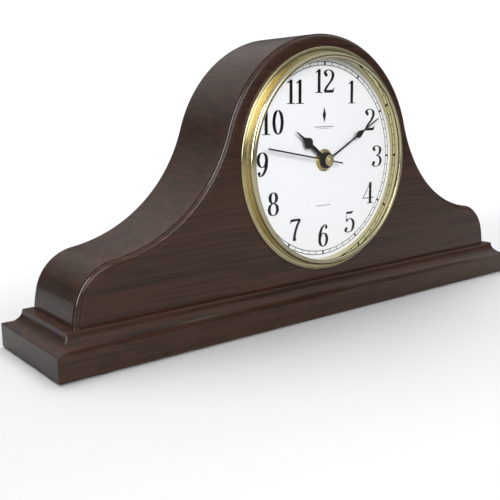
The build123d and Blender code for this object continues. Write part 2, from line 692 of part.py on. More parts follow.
ROTOR_MODULE = pair_module(ROTOR_DISTANCE, ROTOR_TEETH, INTERMEDIATE_TEETH)
SECOND_MODULE = pair_module(TRAIN_DISTANCE, INTERMEDIATE_PINION_TEETH, SECOND_TEETH)
THIRD_MODULE = pair_module(TRAIN_DISTANCE, SECOND_PINION_TEETH, THIRD_TEETH)
CENTRE_MODULE = pair_module(TRAIN_DISTANCE, THIRD_PINION_TEETH, CENTRE_TEETH)
CANNON_MODULE = pair_module(MOTION_DISTANCE, CANNON_TEETH, MINUTE_WHEEL_TEETH)
HOUR_MODULE = pair_module(MOTION_DISTANCE, MINUTE_PINION_TEETH, HOUR_TEETH)

ROTOR_PHASE = mesh_phase(INTERMEDIATE_TEETH, 0.0, ROTOR_BEARING, ROTOR_TEETH)
INTERMEDIATE_PHASE = mesh_phase(SECOND_TEETH, 0.0, INTERMEDIATE_BEARING, INTERMEDIATE_PINION_TEETH)
THIRD_PHASE = mesh_phase(SECOND_PINION_TEETH, 0.0, THIRD_BEARING, THIRD_TEETH)
CENTRE_PHASE = mesh_phase(THIRD_PINION_TEETH, 0.0, THIRD_BEARING + 180, CENTRE_TEETH)
MINUTE_WHEEL_PHASE = mesh_phase(CANNON_TEETH, 0.0, MINUTE_WHEEL_BEARING, MINUTE_WHEEL_TEETH)
KNOB_PHASE = mesh_phase(MINUTE_WHEEL_TEETH, MINUTE_WHEEL_PHASE, KNOB_BEARING, KNOB_PINION_TEETH)
HOUR_PHASE = mesh_phase(MINUTE_PINION_TEETH, 0.0, MINUTE_WHEEL_BEARING + 180, HOUR_TEETH)
ARBOR_FRONT = MOVEMENT_WALL - PIVOT_DEPTH + END_GAP
ARBOR_BACK = MOVEMENT_DEPTH - MOVEMENT_WALL + PIVOT_DEPTH - END_GAP


def arbor(radius=ARBOR, first=ARBOR_FRONT, last=ARBOR_BACK):
    """Round steel arbor between two depths."""
    return disc(radius, depth(first), depth(last))


def rotor():
    """Stepping rotor: ring magnet and pinion on one arbor."""
    body = arbor() + gear(ROTOR_TEETH, ROTOR_MODULE, ROTOR_PHASE, ROTOR_PINION_PLANE)
    body += disc(MAGNET_RADIUS, depth(MAGNET_PLANE[0]), depth(MAGNET_PLANE[1]))
    return at_dial(body, ROTOR_AT)


def intermediate_wheel():
    """Wheel driven by the rotor, with the pinion that drives the second wheel."""
    body = arbor() + gear(INTERMEDIATE_TEETH, ROTOR_MODULE, 0.0, INTERMEDIATE_PLANE)
    body += gear(INTERMEDIATE_PINION_TEETH, SECOND_MODULE, INTERMEDIATE_PHASE, INTERMEDIATE_PINION_PLANE)
    body += disc(COLLAR_RADIUS, depth(INTERMEDIATE_PINION_PLANE[1]), depth(INTERMEDIATE_PLANE[0]))
    return at_dial(body, INTERMEDIATE_AT)


def second_wheel():
    """Second wheel and its pinion, moulded on the second arbor."""
    body = gear(SECOND_TEETH, SECOND_MODULE, 0.0, SECOND_PLANE, SECOND_SHAFT)
    body += gear(SECOND_PINION_TEETH, THIRD_MODULE, 0.0, SECOND_PINION_PLANE, SECOND_SHAFT)
    hub_radius = root_radius(SECOND_PINION_TEETH, THIRD_MODULE)
    hub = disc(hub_radius, depth(SECOND_PINION_PLANE[0]), depth(SECOND_PLANE[1]), SECOND_SHAFT)
    return at_dial(body + hub)


def second_arbor():
    """Steel arbor that carries the second hand through the minute tube."""
    return at_dial(disc(SECOND_SHAFT, SECOND_HAND_FRONT, depth(ARBOR_BACK)))


def third_wheel():
    """Third wheel and pinion, between the second pinion and the centre wheel."""
    body = arbor() + gear(THIRD_TEETH, THIRD_MODULE, THIRD_PHASE, THIRD_PLANE)
    body += gear(THIRD_PINION_TEETH, CENTRE_MODULE, 0.0, THIRD_PINION_PLANE)
    return at_dial(body, THIRD_AT)


def centre_wheel():
    """Centre wheel, a friction fit on the cannon pinion's hub."""
    return at_dial(gear(CENTRE_TEETH, CENTRE_MODULE, CENTRE_PHASE, CENTRE_PLANE, MINUTE_TUBE + RUNNING_GAP))


def cannon_pinion():
    """Minute tube with the pinion that drives the motion work, and a hub behind it."""
    bore = SECOND_SHAFT + RUNNING_GAP
    body = disc(MINUTE_TUBE, MINUTE_HAND_FRONT, depth(CENTRE_PLANE[1] + END_GAP), bore)
    body += gear(CANNON_TEETH, CANNON_MODULE, 0.0, CANNON_PLANE, bore)
    return at_dial(body)


def minute_wheel():
    """Minute wheel and pinion, turning on the case's post."""
    bore = ARBOR + RUNNING_GAP
    body = gear(MINUTE_WHEEL_TEETH, CANNON_MODULE, MINUTE_WHEEL_PHASE, CANNON_PLANE, bore)
    body += gear(MINUTE_PINION_TEETH, HOUR_MODULE, 0.0, MINUTE_PINION_PLANE, bore)
    body += disc(COLLAR_RADIUS, depth(MINUTE_PINION_PLANE[0]), depth(CANNON_PLANE[1]), bore)
    return at_dial(body, MINUTE_WHEEL_AT)


def hour_wheel():
    """Hour wheel on the tube that carries the hour hand."""
    bore = MINUTE_TUBE + RUNNING_GAP
    body = gear(HOUR_TEETH, HOUR_MODULE, HOUR_PHASE, HOUR_PLANE, bore)
    return at_dial(body + disc(HOUR_TUBE, HOUR_HAND_FRONT, depth(HOUR_PLANE[1]), bore))


def set_knob():
    """Hand-setting knob with its arbor and pinion."""
    first = MOVEMENT_DEPTH + KNOB_GAP
    grip = Circle(KNOB_RADIUS)
    for flute in range(KNOB_FLUTES):
        grip -= Pos(*polar(KNOB_RADIUS, 360 * flute / KNOB_FLUTES)) * Circle(KNOB_FLUTE_RADIUS)
    body = slab(grip, depth(first), depth(first + KNOB_HEIGHT))
    body += disc(ARBOR, depth(ARBOR_FRONT), depth(first))
    body += gear(KNOB_PINION_TEETH, CANNON_MODULE, KNOB_PHASE, CANNON_PLANE)
    return at_dial(body, KNOB_AT)


# ---------------------------------------------------------------- electrics
def coil_depth():
    """Depth of the coil's axis, level with the stator."""
    return (STATOR_PLANE[0] + STATOR_PLANE[1]) / 2


def along_x(length):
    """Turn a cylinder or box from Z to X, at the coil's place."""
    return Pos(COIL_AT[0], depth(coil_depth()), DIAL_Z + COIL_AT[1]) * Rot(0, 90, 0) * length


def coil_core():
    """Square iron core through the bobbin, joined to the stator's arms."""
    return along_x(Box(2 * CORE_HALF, 2 * CORE_HALF, STATOR_LENGTH))


def coil_bobbin():
    """Bobbin with two flanges."""
    body = Cylinder(BOBBIN_RADIUS, COIL_LENGTH)
    for side in (-1, 1):
        body += Pos(0, 0, side * (COIL_LENGTH + FLANGE_THICKNESS) / 2) * Cylinder(
            BOBBIN_FLANGE, FLANGE_THICKNESS
        )
    hole = 2 * (CORE_HALF + SEAT_GAP)
    return along_x(body - Box(hole, hole, STATOR_LENGTH))


def coil_winding():
    """Copper winding on the bobbin."""
    return along_x(Cylinder(COIL_RADIUS, COIL_LENGTH) - Cylinder(BOBBIN_RADIUS, COIL_LENGTH))


def stator_plate():
    """Flat iron plate with the rotor's hole and two arms up to the core."""
    low, high = ROTOR_AT[1] - STATOR_BELOW, ROTOR_AT[1] + STATOR_ABOVE
    plate = Pos(ROTOR_AT[0], (low + high) / 2) * Rectangle(STATOR_LENGTH, high - low)
    plate -= Pos(*ROTOR_AT) * Circle(MAGNET_RADIUS + STATOR_GAP)
    arm_width = (STATOR_LENGTH - COIL_LENGTH) / 2 - FLANGE_THICKNESS - SEAT_GAP
    arm_top = COIL_AT[1] - CORE_HALF
    for side in (-1, 1):
        x = ROTOR_AT[0] + side * (STATOR_LENGTH - arm_width) / 2
        plate += Pos(x, (low + arm_top) / 2) * Rectangle(arm_width, arm_top - low)
    return at_dial(slab(plate, depth(STATOR_PLANE[0]), depth(STATOR_PLANE[1])))


def board_centre():
    """Centre of the circuit board in (x, z) from the hand axis."""
    return (BOARD_CORNER[0] + BOARD_SIZE[0] / 2, BOARD_CORNER[1] + BOARD_SIZE[1] / 2)


def circuit_board():
    """Small circuit board."""
    return at_dial(slab(Rectangle(*BOARD_SIZE), depth(BOARD_PLANE[0]), depth(BOARD_PLANE[1])), board_centre())


def driver_chip():
    """Sealed drop of resin over the clock chip."""
    top = depth(BOARD_PLANE[1])
    centre = board_centre()
    drop = spin([(0, top), (CHIP_RADIUS, top), (CHIP_RADIUS / 2, top + CHIP_HEIGHT), (0, top + CHIP_HEIGHT)])
    return at_dial(drop, (centre[0], centre[1] - CHIP_DROP))


def quartz_crystal():
    """Quartz crystal in its metal can, lying on the board."""
    centre = board_centre()
    can = Rot(0, 90, 0) * Cylinder(CRYSTAL_RADIUS, CRYSTAL_LENGTH)
    place = Pos(centre[0], depth(BOARD_PLANE[1]) + CRYSTAL_RADIUS, DIAL_Z + centre[1] + CRYSTAL_RISE)
    return place * can


def contact(side):
    """Springy contact strip at one end of the battery bay, tucked into the end wall."""
    outer = MOVEMENT_HALF - BATTERY_EDGE
    low, high = BAY_BOTTOM + BATTERY_GAP, BAY_TOP - BATTERY_GAP
    strip = Pos(side * (outer - CONTACT_THICKNESS / 2), (low + high) / 2) * Rectangle(
        CONTACT_THICKNESS, high - low
    )
    return strip


def positive_contact():
    """Flat contact strip for the battery's nub."""
    return at_dial(slab(contact(1), depth(MOVEMENT_WALL), depth(MOVEMENT_DEPTH - MOVEMENT_WALL)))


def negative_contact():
    """Bowed contact strip that presses on the battery's flat end."""
    outer = MOVEMENT_HALF - BATTERY_EDGE - CONTACT_THICKNESS
    reach = outer - battery_span()[1] - SEAT_GAP
    half = BATTERY_RADIUS * CONTACT_BOW
    inner = reach - CONTACT_THICKNESS
    bow = make_face(
        [
            ThreePointArc((-outer, BATTERY_AT - half), (reach - outer, BATTERY_AT), (-outer, BATTERY_AT + half)),
            Line((-outer, BATTERY_AT + half), (-outer, BATTERY_AT + half - CONTACT_THICKNESS)),
            ThreePointArc(
                (-outer, BATTERY_AT + half - CONTACT_THICKNESS),
                (inner - outer, BATTERY_AT),
                (-outer, BATTERY_AT - half + CONTACT_THICKNESS),
            ),
            Line((-outer, BATTERY_AT - half + CONTACT_THICKNESS), (-outer, BATTERY_AT - half)),
        ]
    )
    first, last = depth(BATTERY_DEPTH - BATTERY_RADIUS / 2), depth(BATTERY_DEPTH + BATTERY_RADIUS / 2)
    back = slab(contact(-1), depth(MOVEMENT_WALL), depth(MOVEMENT_DEPTH - MOVEMENT_WALL))
    return at_dial(back + slab(bow, first, last))


def battery_span():
    """X of the nub's tip, and how far the flat end lies to the left."""
    tip = MOVEMENT_HALF - BATTERY_EDGE - CONTACT_THICKNESS - SEAT_GAP
    return tip, BATTERY_LENGTH + BATTERY_NUB_LENGTH - tip


def aa_battery():
    """AA cell, lying across the foot of the movement."""
    tip, left = battery_span()
    can = Cylinder(BATTERY_RADIUS, BATTERY_LENGTH, align=(Align.CENTER, Align.CENTER, Align.MIN))
    can = chamfer(can.edges(), BATTERY_GAP)
    nub = Pos(0, 0, BATTERY_LENGTH) * Cylinder(
        BATTERY_NUB_RADIUS, BATTERY_NUB_LENGTH, align=(Align.CENTER, Align.CENTER, Align.MIN)
    )
    return Pos(-left, depth(BATTERY_DEPTH), DIAL_Z + BATTERY_AT) * Rot(0, 90, 0) * (can + nub)


# ---------------------------------------------------------------- hands
def spade_face(length, stem, spade_start, spade_peak, spade_half, needle_start, needle):
    """Spade hand pointing to twelve: stem, heart-shaped spade and needle point."""
    lobe = (spade_half * LOBE_REACH, (2 * spade_start + spade_peak) / 3 - spade_half * LOBE_DROP)
    right = [
        Line((stem, 0), (stem, spade_start)),
        ThreePointArc((stem, spade_start), lobe, (spade_half, spade_peak)),
        Spline(
            (spade_half, spade_peak),
            (needle, needle_start),
            tangents=[(0, 1), (NEEDLE_LEAN, 1)],
        ),
        Line((needle, needle_start), (HAND_TIP, length - HAND_TIP)),
    ]
    left = [mirror(edge, Plane.YZ) for edge in right]
    ends = [
        Line((-stem, 0), (stem, 0)),
        ThreePointArc((HAND_TIP, length - HAND_TIP), (0, length), (-HAND_TIP, length - HAND_TIP)),
    ]
    return make_face(right + left + ends)


def hand(face, angle, plate_y, boss_radius, boss, bore):
    """Flat hand with a round boss, turned clockwise to its angle and bored for its shaft."""
    body = slab(face, plate_y - HAND_THICKNESS, plate_y)
    body += disc(boss_radius, boss[0], boss[1])
    body -= disc(bore, boss[0] - 1, boss[1] + 1)
    return at_dial(Rot(0, angle, 0) * body)


def hour_hand():
    """Hour hand on the hour tube."""
    face = spade_face(HOUR_HAND_LENGTH, *HOUR_SPADE)
    boss = (HOUR_HAND_FRONT, HOUR_HAND_BACK)
    plate = (HOUR_HAND_FRONT + HOUR_HAND_BACK + HAND_THICKNESS) / 2
    return hand(face, HOUR_ANGLE, plate, HOUR_BOSS_RADIUS, boss, HOUR_TUBE)


def minute_hand():
    """Minute hand on the minute tube."""
    face = spade_face(MINUTE_HAND_LENGTH, *MINUTE_SPADE)
    boss = (MINUTE_HAND_FRONT, MINUTE_HAND_BACK)
    plate = (MINUTE_HAND_FRONT + MINUTE_HAND_BACK + HAND_THICKNESS) / 2
    return hand(face, MINUTE_ANGLE, plate, MINUTE_BOSS_RADIUS, boss, MINUTE_TUBE)


def second_hand():
    """Straight second hand with a tail."""
    length = SECOND_HAND_LENGTH + SECOND_TAIL_LENGTH
    face = Pos(0, (SECOND_HAND_LENGTH - SECOND_TAIL_LENGTH) / 2) * Rectangle(2 * SECOND_HAND_HALF, length)
    boss = (SECOND_HAND_FRONT, SECOND_HAND_BACK)
    return hand(face, SECOND_ANGLE, SECOND_HAND_BACK, SECOND_BOSS_RADIUS, boss, SECOND_SHAFT)


def second_hand_cap():
    """Stepped brass cap over the end of the second arbor."""
    step = CAP_HEIGHT / 2
    outline = [
        (0, SECOND_HAND_FRONT),
        (CAP_RADIUS, SECOND_HAND_FRONT),
        (CAP_RADIUS, SECOND_HAND_FRONT - step / 2),
        (CAP_RADIUS - step / 2, SECOND_HAND_FRONT - step),
        (CAP_RADIUS * CAP_SHARES[0], SECOND_HAND_FRONT - step),
        (CAP_RADIUS * CAP_SHARES[1], CAP_FRONT),
        (0, CAP_FRONT),
    ]
    return at_dial(spin(outline))


PIECES = [
    base_plinth,
    corner_blocks,
    base_screws,
    felt_feet,
    front_panel,
    case_band,
    rear_panel,
    bezel_ring,
    reflector_ring,
    glass_lens,
    dial_plate,
    movement_case_front,
    movement_case_back,
    threaded_bush,
    rubber_washer,
    brass_washer,
    hex_nut,
    rotor,
    intermediate_wheel,
    second_wheel,
    second_arbor,
    third_wheel,
    centre_wheel,
    cannon_pinion,
    minute_wheel,
    hour_wheel,
    set_knob,
    coil_core,
    coil_bobbin,
    coil_winding,
    stator_plate,
    circuit_board,
    driver_chip,
    quartz_crystal,
    positive_contact,
    negative_contact,
    aa_battery,
    hour_hand,
    minute_hand,
    second_hand,
    second_hand_cap,
]

os.makedirs("parts", exist_ok=True)
for piece in PIECES:
    write(piece.__name__, piece())
print(len(PIECES), "pieces; cap to glass", round(CAP_FRONT - GLASS_BACK_Y, 3))
print("dial centre", DIAL_Z, "dial face", DIAL_Y, "movement front", MOVEMENT_Y)
print("third", THIRD_AT, "intermediate", INTERMEDIATE_AT, "rotor", ROTOR_AT)
print("minute wheel", MINUTE_WHEEL_AT, "knob", KNOB_AT, "battery", BATTERY_AT)
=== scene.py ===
# %% [markdown]
# # A mantel clock with a hump-backed walnut case
# The clock is a dark lacquered wooden case on a moulded base, with a brass bezel, a printed
# white dial and a battery movement. The solid model of the clock is loaded first as a fixed
# frame. Everything made below takes its place from that frame, so nothing has to be fitted.

from math import asin, atan2, cos, pi, radians, sin

import bmesh
import bpy
import numpy as np
from mathutils import Matrix, Vector


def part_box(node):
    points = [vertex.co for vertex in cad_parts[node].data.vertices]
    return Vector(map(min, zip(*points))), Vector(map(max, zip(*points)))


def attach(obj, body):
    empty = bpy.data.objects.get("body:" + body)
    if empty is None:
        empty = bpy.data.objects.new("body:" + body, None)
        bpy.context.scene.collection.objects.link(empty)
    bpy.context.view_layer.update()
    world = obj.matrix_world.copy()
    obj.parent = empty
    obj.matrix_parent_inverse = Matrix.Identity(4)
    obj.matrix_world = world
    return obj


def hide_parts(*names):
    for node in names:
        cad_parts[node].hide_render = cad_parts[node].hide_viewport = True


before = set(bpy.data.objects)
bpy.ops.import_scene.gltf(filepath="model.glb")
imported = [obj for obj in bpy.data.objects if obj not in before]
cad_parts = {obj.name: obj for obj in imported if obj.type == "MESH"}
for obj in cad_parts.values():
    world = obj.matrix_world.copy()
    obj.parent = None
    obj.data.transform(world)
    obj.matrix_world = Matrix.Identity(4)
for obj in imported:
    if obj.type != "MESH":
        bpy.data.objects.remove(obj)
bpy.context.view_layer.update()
MM = 0.001

# %% [markdown]
# The view comes next, because it decides which details matter. The camera stands close, to the
# left of the clock and a little above it, so the base runs away in strong perspective. It is
# built from a place and three turns: yaw, pitch and a slight roll. The lens stays free of depth
# of field and of shift, so that any other view can use the same camera.

# %% Camera
CAMERA_PLACE = Vector((-0.3378, -0.3691, 0.1385))
CAMERA_YAW = radians(38.487)  # to the right of the +Y direction
CAMERA_PITCH = radians(11.36)  # downwards
CAMERA_ROLL = radians(-0.576)
CAMERA_LENS = 51.85  # mm, on a 36 mm wide sensor


def camera_turn(yaw, pitch, roll):
    """Columns are the camera's right, up and backward directions.

    Forward is level at the yaw angle and then dips by the pitch. Right is forward crossed with
    straight up. Roll turns right and up about the line of sight.
    """
    forward = Vector((cos(pitch) * sin(yaw), cos(pitch) * cos(yaw), -sin(pitch)))
    right = forward.cross(Vector((0, 0, 1))).normalized()
    up = right.cross(forward)
    rolled_right = cos(roll) * right + sin(roll) * up
    rolled_up = cos(roll) * up - sin(roll) * right
    return Matrix((rolled_right, rolled_up, -forward)).transposed()


camera_data = bpy.data.cameras.new("studio_camera")
camera_data.lens = CAMERA_LENS
camera_data.clip_start = 0.01
camera = bpy.data.objects.new("studio_camera", camera_data)
camera.matrix_world = Matrix.Translation(CAMERA_PLACE) @ camera_turn(
    CAMERA_YAW, CAMERA_PITCH, CAMERA_ROLL
).to_4x4()
bpy.context.scene.collection.objects.link(camera)
bpy.context.scene.camera = camera
print("camera looks along", [round(v, 3) for v in -camera.matrix_world.col[2].xyz])

# %% [markdown]
# A material in Blender is a small network of nodes. The helpers below keep each network short:
# one makes a node and sets its inputs, some do sums, and one starts a node group. A node
# group is a reusable effect with named inputs and outputs, built once and placed in every
# material that needs it, each time with its own values.

# %% Helpers for nodes
def feed(tree, socket, value):
    """Join another node's output to a socket, or give the socket its own value."""
    if isinstance(value, bpy.types.NodeSocket):
        tree.links.new(value, socket)
    else:
        socket.default_value = value


def add_node(tree, kind, inputs=None, **settings):
    """Put a node in a tree, with its settings and the values of its inputs."""
    node = tree.nodes.new(kind)
    for key, value in settings.items():
        setattr(node, key, value)
    for key, value in (inputs or {}).items():
        feed(tree, node.inputs[key], value)
    return node


def arithmetic(tree, operation, *values):
    """One Math node; each value is a number or another node's output."""
    node = add_node(tree, "ShaderNodeMath", dict(enumerate(values)), operation=operation)
    return node.outputs[0]


def times(tree, first, second):
    """Product of two values."""
    return arithmetic(tree, "MULTIPLY", first, second)


def plus(tree, first, second):
    """Sum of two values."""
    return arithmetic(tree, "ADD", first, second)


def minus(tree, first, second):
    """The first value less the second."""
    return arithmetic(tree, "SUBTRACT", first, second)


def colour_mix(tree, share, first, second):
    """Mix two colours by a share from 0 to 1."""
    node = add_node(tree, "ShaderNodeMix", data_type="RGBA")
    sockets = {s.identifier: s for s in node.inputs}
    for name, value in (("Factor_Float", share), ("A_Color", first), ("B_Color", second)):
        feed(tree, sockets[name], value)
    return next(s for s in node.outputs if s.identifier == "Result_Color")


def steps_between(tree, value, low, high, start=0.0, end=1.0):
    """Spread a value that runs from low to high over start to end, and clamp it."""
    node = add_node(
        tree,
        "ShaderNodeMapRange",
        {"Value": value, "From Min": low, "From Max": high, "To Min": start, "To Max": end},
        interpolation_type="SMOOTHSTEP",
    )
    return node.outputs["Result"]


def noise(tree, place, scale, detail=3.0, roughness=0.5):
    """Value of soft noise at a place, with a number of waves per metre."""
    node = add_node(
        tree,
        "ShaderNodeTexNoise",
        {"Vector": place, "Scale": scale, "Detail": detail, "Roughness": roughness},
    )
    return node.outputs["Fac"]


def stretched(tree, place, scale):
    """The place with each axis multiplied by its own scale."""
    node = add_node(tree, "ShaderNodeMapping", {"Vector": place, "Scale": scale})
    return node.outputs["Vector"]


def start_group(name, inputs, outputs):
    """Begin a node group. Inputs and outputs are (name, socket kind, default) rows."""
    tree = bpy.data.node_groups.new(name, "ShaderNodeTree")
    for label, kind, default in inputs:
        socket = tree.interface.new_socket(label, in_out="INPUT", socket_type=kind)
        if default is not None:
            socket.default_value = default
    for label, kind in outputs:
        tree.interface.new_socket(label, in_out="OUTPUT", socket_type=kind)
    return tree, tree.nodes.new("NodeGroupInput").outputs, tree.nodes.new("NodeGroupOutput").inputs


FLOAT, COLOUR, VECTOR = "NodeSocketFloat", "NodeSocketColor", "NodeSocketVector"


def place_group(tree, group, inputs):
    """Use a node group in a material's tree and return its outputs."""
    return add_node(tree, "ShaderNodeGroup", inputs, node_tree=group).outputs


print("node helpers are ready")

# %% [markdown]
# Walnut shows long streaks of darker and lighter wood, and short dark pores along the grain.
# Both are noise that is squeezed across the grain and drawn out along it. The figure is worked
# out in the solid, not painted on its faces, so the streaks on the front, on the top and on the
# end of a board belong together, as they do when it is sawn from one plank.

# %% Group: wood figure
figure, wood_in, wood_out = start_group(
    "wood_figure",
    [
        ("Place", VECTOR, None),
        ("Dark", COLOUR, (0.01, 0.005, 0.003, 1)),
        ("Light", COLOUR, (0.05, 0.025, 0.015, 1)),
        ("Pore Depth", FLOAT, 0.5),
        ("Streak Width", FLOAT, 1.0),
    ],
    [("Color", COLOUR), ("Pores", FLOAT), ("Streaks", FLOAT)],
)
wander = noise(figure, stretched(figure, wood_in["Place"], (7.0, 14.0, 14.0)), 1.0, 2.0)
lifted = add_node(
    figure,
    "ShaderNodeVectorMath",
    {
        0: wood_in["Place"],
        1: add_node(figure, "ShaderNodeCombineXYZ", {"Z": times(figure, wander, 0.012)}).outputs[0],
    },
    operation="ADD",
).outputs[0]
width_scale = arithmetic(figure, "DIVIDE", 1.0, wood_in["Streak Width"])
sized = add_node(
    figure, "ShaderNodeVectorMath", {0: lifted, "Scale": width_scale}, operation="SCALE"
).outputs[0]


def layer(waves, detail, roughness, low, high):
    """One layer of the figure: noise with its waves per metre on X, Y and Z, spread out."""
    drawn = noise(figure, stretched(figure, sized, waves), 1.0, detail, roughness)
    return steps_between(figure, drawn, low, high)


BROAD_SHARE, FINE_SHARE, HAIR_SHARE = 0.16, 0.46, 0.38
broad = times(figure, layer((3.0, 16.0, 62.0), 3.0, 0.55, 0.36, 0.64), BROAD_SHARE)
fine = times(figure, layer((9.0, 80.0, 480.0), 4.0, 0.6, 0.34, 0.66), FINE_SHARE)
hair = times(figure, layer((28.0, 210.0, 1300.0), 2.0, 0.5, 0.3, 0.7), HAIR_SHARE)
streaks = plus(figure, broad, plus(figure, fine, hair))
pores = layer((70.0, 420.0, 2300.0), 1.0, 0.4, 0.60, 0.70)
stained = colour_mix(figure, streaks, wood_in["Dark"], wood_in["Light"])
pored = colour_mix(
    figure,
    times(figure, pores, wood_in["Pore Depth"]),
    stained,
    (0.004, 0.002, 0.0015, 1),
)
figure.links.new(pored, wood_out["Color"])
figure.links.new(pores, wood_out["Pores"])
figure.links.new(streaks, wood_out["Streaks"])
print("wood figure has", len(figure.nodes), "nodes")

# %% [markdown]
# Hands, cloths and air leave their marks on every finish: a faint bloom of dust that changes
# the gloss, and fine wiping scratches. Another group gives the light rubbing along an edge. It
# reads an attribute called `arris`, which the pieces below carry on the points of their edges.

# %% Groups: handling marks and edge rub
marks, marks_in, marks_out = start_group(
    "handling_marks",
    [("Place", VECTOR, None), ("Size", FLOAT, 40.0), ("Low", FLOAT, 0.1), ("High", FLOAT, 0.2)],
    [("Roughness", FLOAT), ("Mask", FLOAT)],
)
cloudy = noise(marks, marks_in["Place"], marks_in["Size"], 4.0, 0.6)
wiped = noise(marks, stretched(marks, marks_in["Place"], (90.0, 900.0, 900.0)), 1.0, 3.0)
smudge = plus(
    marks,
    times(marks, steps_between(marks, cloudy, 0.35, 0.7), 0.7),
    times(marks, steps_between(marks, wiped, 0.45, 0.75), 0.3),
)
spread = plus(
    marks,
    marks_in["Low"],
    times(marks, smudge, minus(marks, marks_in["High"], marks_in["Low"])),
)
marks.links.new(spread, marks_out["Roughness"])
marks.links.new(smudge, marks_out["Mask"])

rub, rub_in, rub_out = start_group(
    "edge_rub",
    [
        ("Place", VECTOR, None), ("Color", COLOUR, None),
        ("Rubbed", COLOUR, None), ("Amount", FLOAT, 0.5),
    ],
    [("Color", COLOUR), ("Mask", FLOAT)],
)
edge = add_node(rub, "ShaderNodeAttribute", attribute_name="arris", attribute_type="GEOMETRY")
patchy = steps_between(rub, noise(rub, rub_in["Place"], 120.0, 4.0, 0.65), 0.38, 0.62)
rubbed = times(rub, times(rub, edge.outputs["Fac"], patchy), rub_in["Amount"])
rub.links.new(colour_mix(rub, rubbed, rub_in["Color"], rub_in["Rubbed"]), rub_out["Color"])
rub.links.new(rubbed, rub_out["Mask"])
print("groups so far:", [g.name for g in bpy.data.node_groups])

# %% [markdown]
# Moulded plastic, felt, rubber, cast paint and cardboard all have a fine grain that can be felt
# more than seen. One group gives them that height, with a coarse and a fine part.

# %% Group: fine grain
grain, grain_in, grain_out = start_group(
    "fine_grain",
    [("Place", VECTOR, None), ("Size", FLOAT, 2000.0), ("Coarse Share", FLOAT, 0.4)],
    [("Height", FLOAT), ("Fleck", FLOAT)],
)
coarse = noise(grain, grain_in["Place"], times(grain, grain_in["Size"], 0.22), 2.0)
sharp = noise(grain, grain_in["Place"], grain_in["Size"], 3.0, 0.7)
height = plus(
    grain,
    times(grain, coarse, grain_in["Coarse Share"]),
    times(grain, sharp, minus(grain, 1.0, grain_in["Coarse Share"])),
)
grain.links.new(height, grain_out["Height"])
grain.links.new(steps_between(grain, sharp, 0.4, 0.65), grain_out["Fleck"])
print("fine grain group has", len(grain.nodes), "nodes")

# %% [markdown]
# Each finish is one Principled shader fed by those groups. Values that are the same all over a
# surface sit on the shader itself.

# %% Helper: start a material
def start_finish(name, **values):
    """New material. Returns it with its tree, its shader and its Object coordinates."""
    material = bpy.data.materials.new(name)
    material.use_nodes = True
    tree = material.node_tree
    shader = tree.nodes["Principled BSDF"]
    for key, value in values.items():
        shader.inputs[key.replace("_", " ")].default_value = value
    place = add_node(tree, "ShaderNodeTexCoord").outputs["Object"]
    return material, tree, shader, place


def add_bump(tree, shader, height, distance, strength=1.0):
    """Feed a height, in metres at full value, to the shader's normal."""
    bump = add_node(
        tree,
        "ShaderNodeBump",
        {"Height": height, "Distance": distance, "Strength": strength},
    )
    tree.links.new(bump.outputs["Normal"], shader.inputs["Normal"])


def colour(red, green, blue):
    """Linear colour from the 0 to 255 numbers of a paint chart."""
    chart = np.array([red, green, blue]) / 255
    linear = np.where(chart <= 0.04045, chart / 12.92, ((chart + 0.055) / 1.055) ** 2.4)
    return (*linear.tolist(), 1.0)


print("dark stain in linear values:", [round(v, 4) for v in colour(48, 32, 26)])

# %% [markdown]
# The case is stained nearly black-brown and sprayed with a semi-gloss lacquer. The lacquer is
# the shader's own gloss, a little uneven where it has been handled. The pores stay as tiny
# hollows under it, so the same mask that darkens them also lowers the surface.

# %% Finish: dark lacquered wood
def wood_finish(name, dark, light, rubbed, low, high, coat, streak_width=1.0):
    """Stained and lacquered wood with streaks, pores, handled gloss and rubbed edges."""
    material, tree, shader, place = start_finish(
        name, Specular_IOR_Level=0.3, Coat_Weight=coat, Coat_Roughness=0.11
    )
    wood = place_group(
        tree,
        figure,
        {
            "Place": place, "Dark": dark, "Light": light,
            "Pore Depth": 0.2, "Streak Width": streak_width,
        },
    )
    edges = place_group(
        tree, rub, {"Place": place, "Color": wood["Color"], "Rubbed": rubbed, "Amount": 0.12}
    )
    gloss = place_group(tree, marks, {"Place": place, "Size": 22.0, "Low": low, "High": high})
    tree.links.new(edges["Color"], shader.inputs["Base Color"])
    tree.links.new(gloss["Roughness"], shader.inputs["Roughness"])
    relief = minus(tree, times(tree, wood["Streaks"], 0.25), times(tree, wood["Pores"], 0.7))
    add_bump(tree, shader, relief, 0.000008, 0.4)
    return material


case_wood = wood_finish(
    "dark_lacquered_wood",
    colour(25, 13, 9), colour(60, 36, 23), colour(84, 60, 48),
    0.30, 0.38, 0.7,
)
print("made", case_wood.name)

# %% [markdown]
# The brass is pale, polished and lacquered. Turning on a lathe leaves fine rings round the dial
# axis, so the gloss changes with the distance from that axis. That distance comes from the
# Object coordinates, moved so that the axis passes through zero.

# %% Finish: turned brass
bezel_low, bezel_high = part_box("bezel_ring")
DIAL_Z = (bezel_low.z + bezel_high.z) / 2


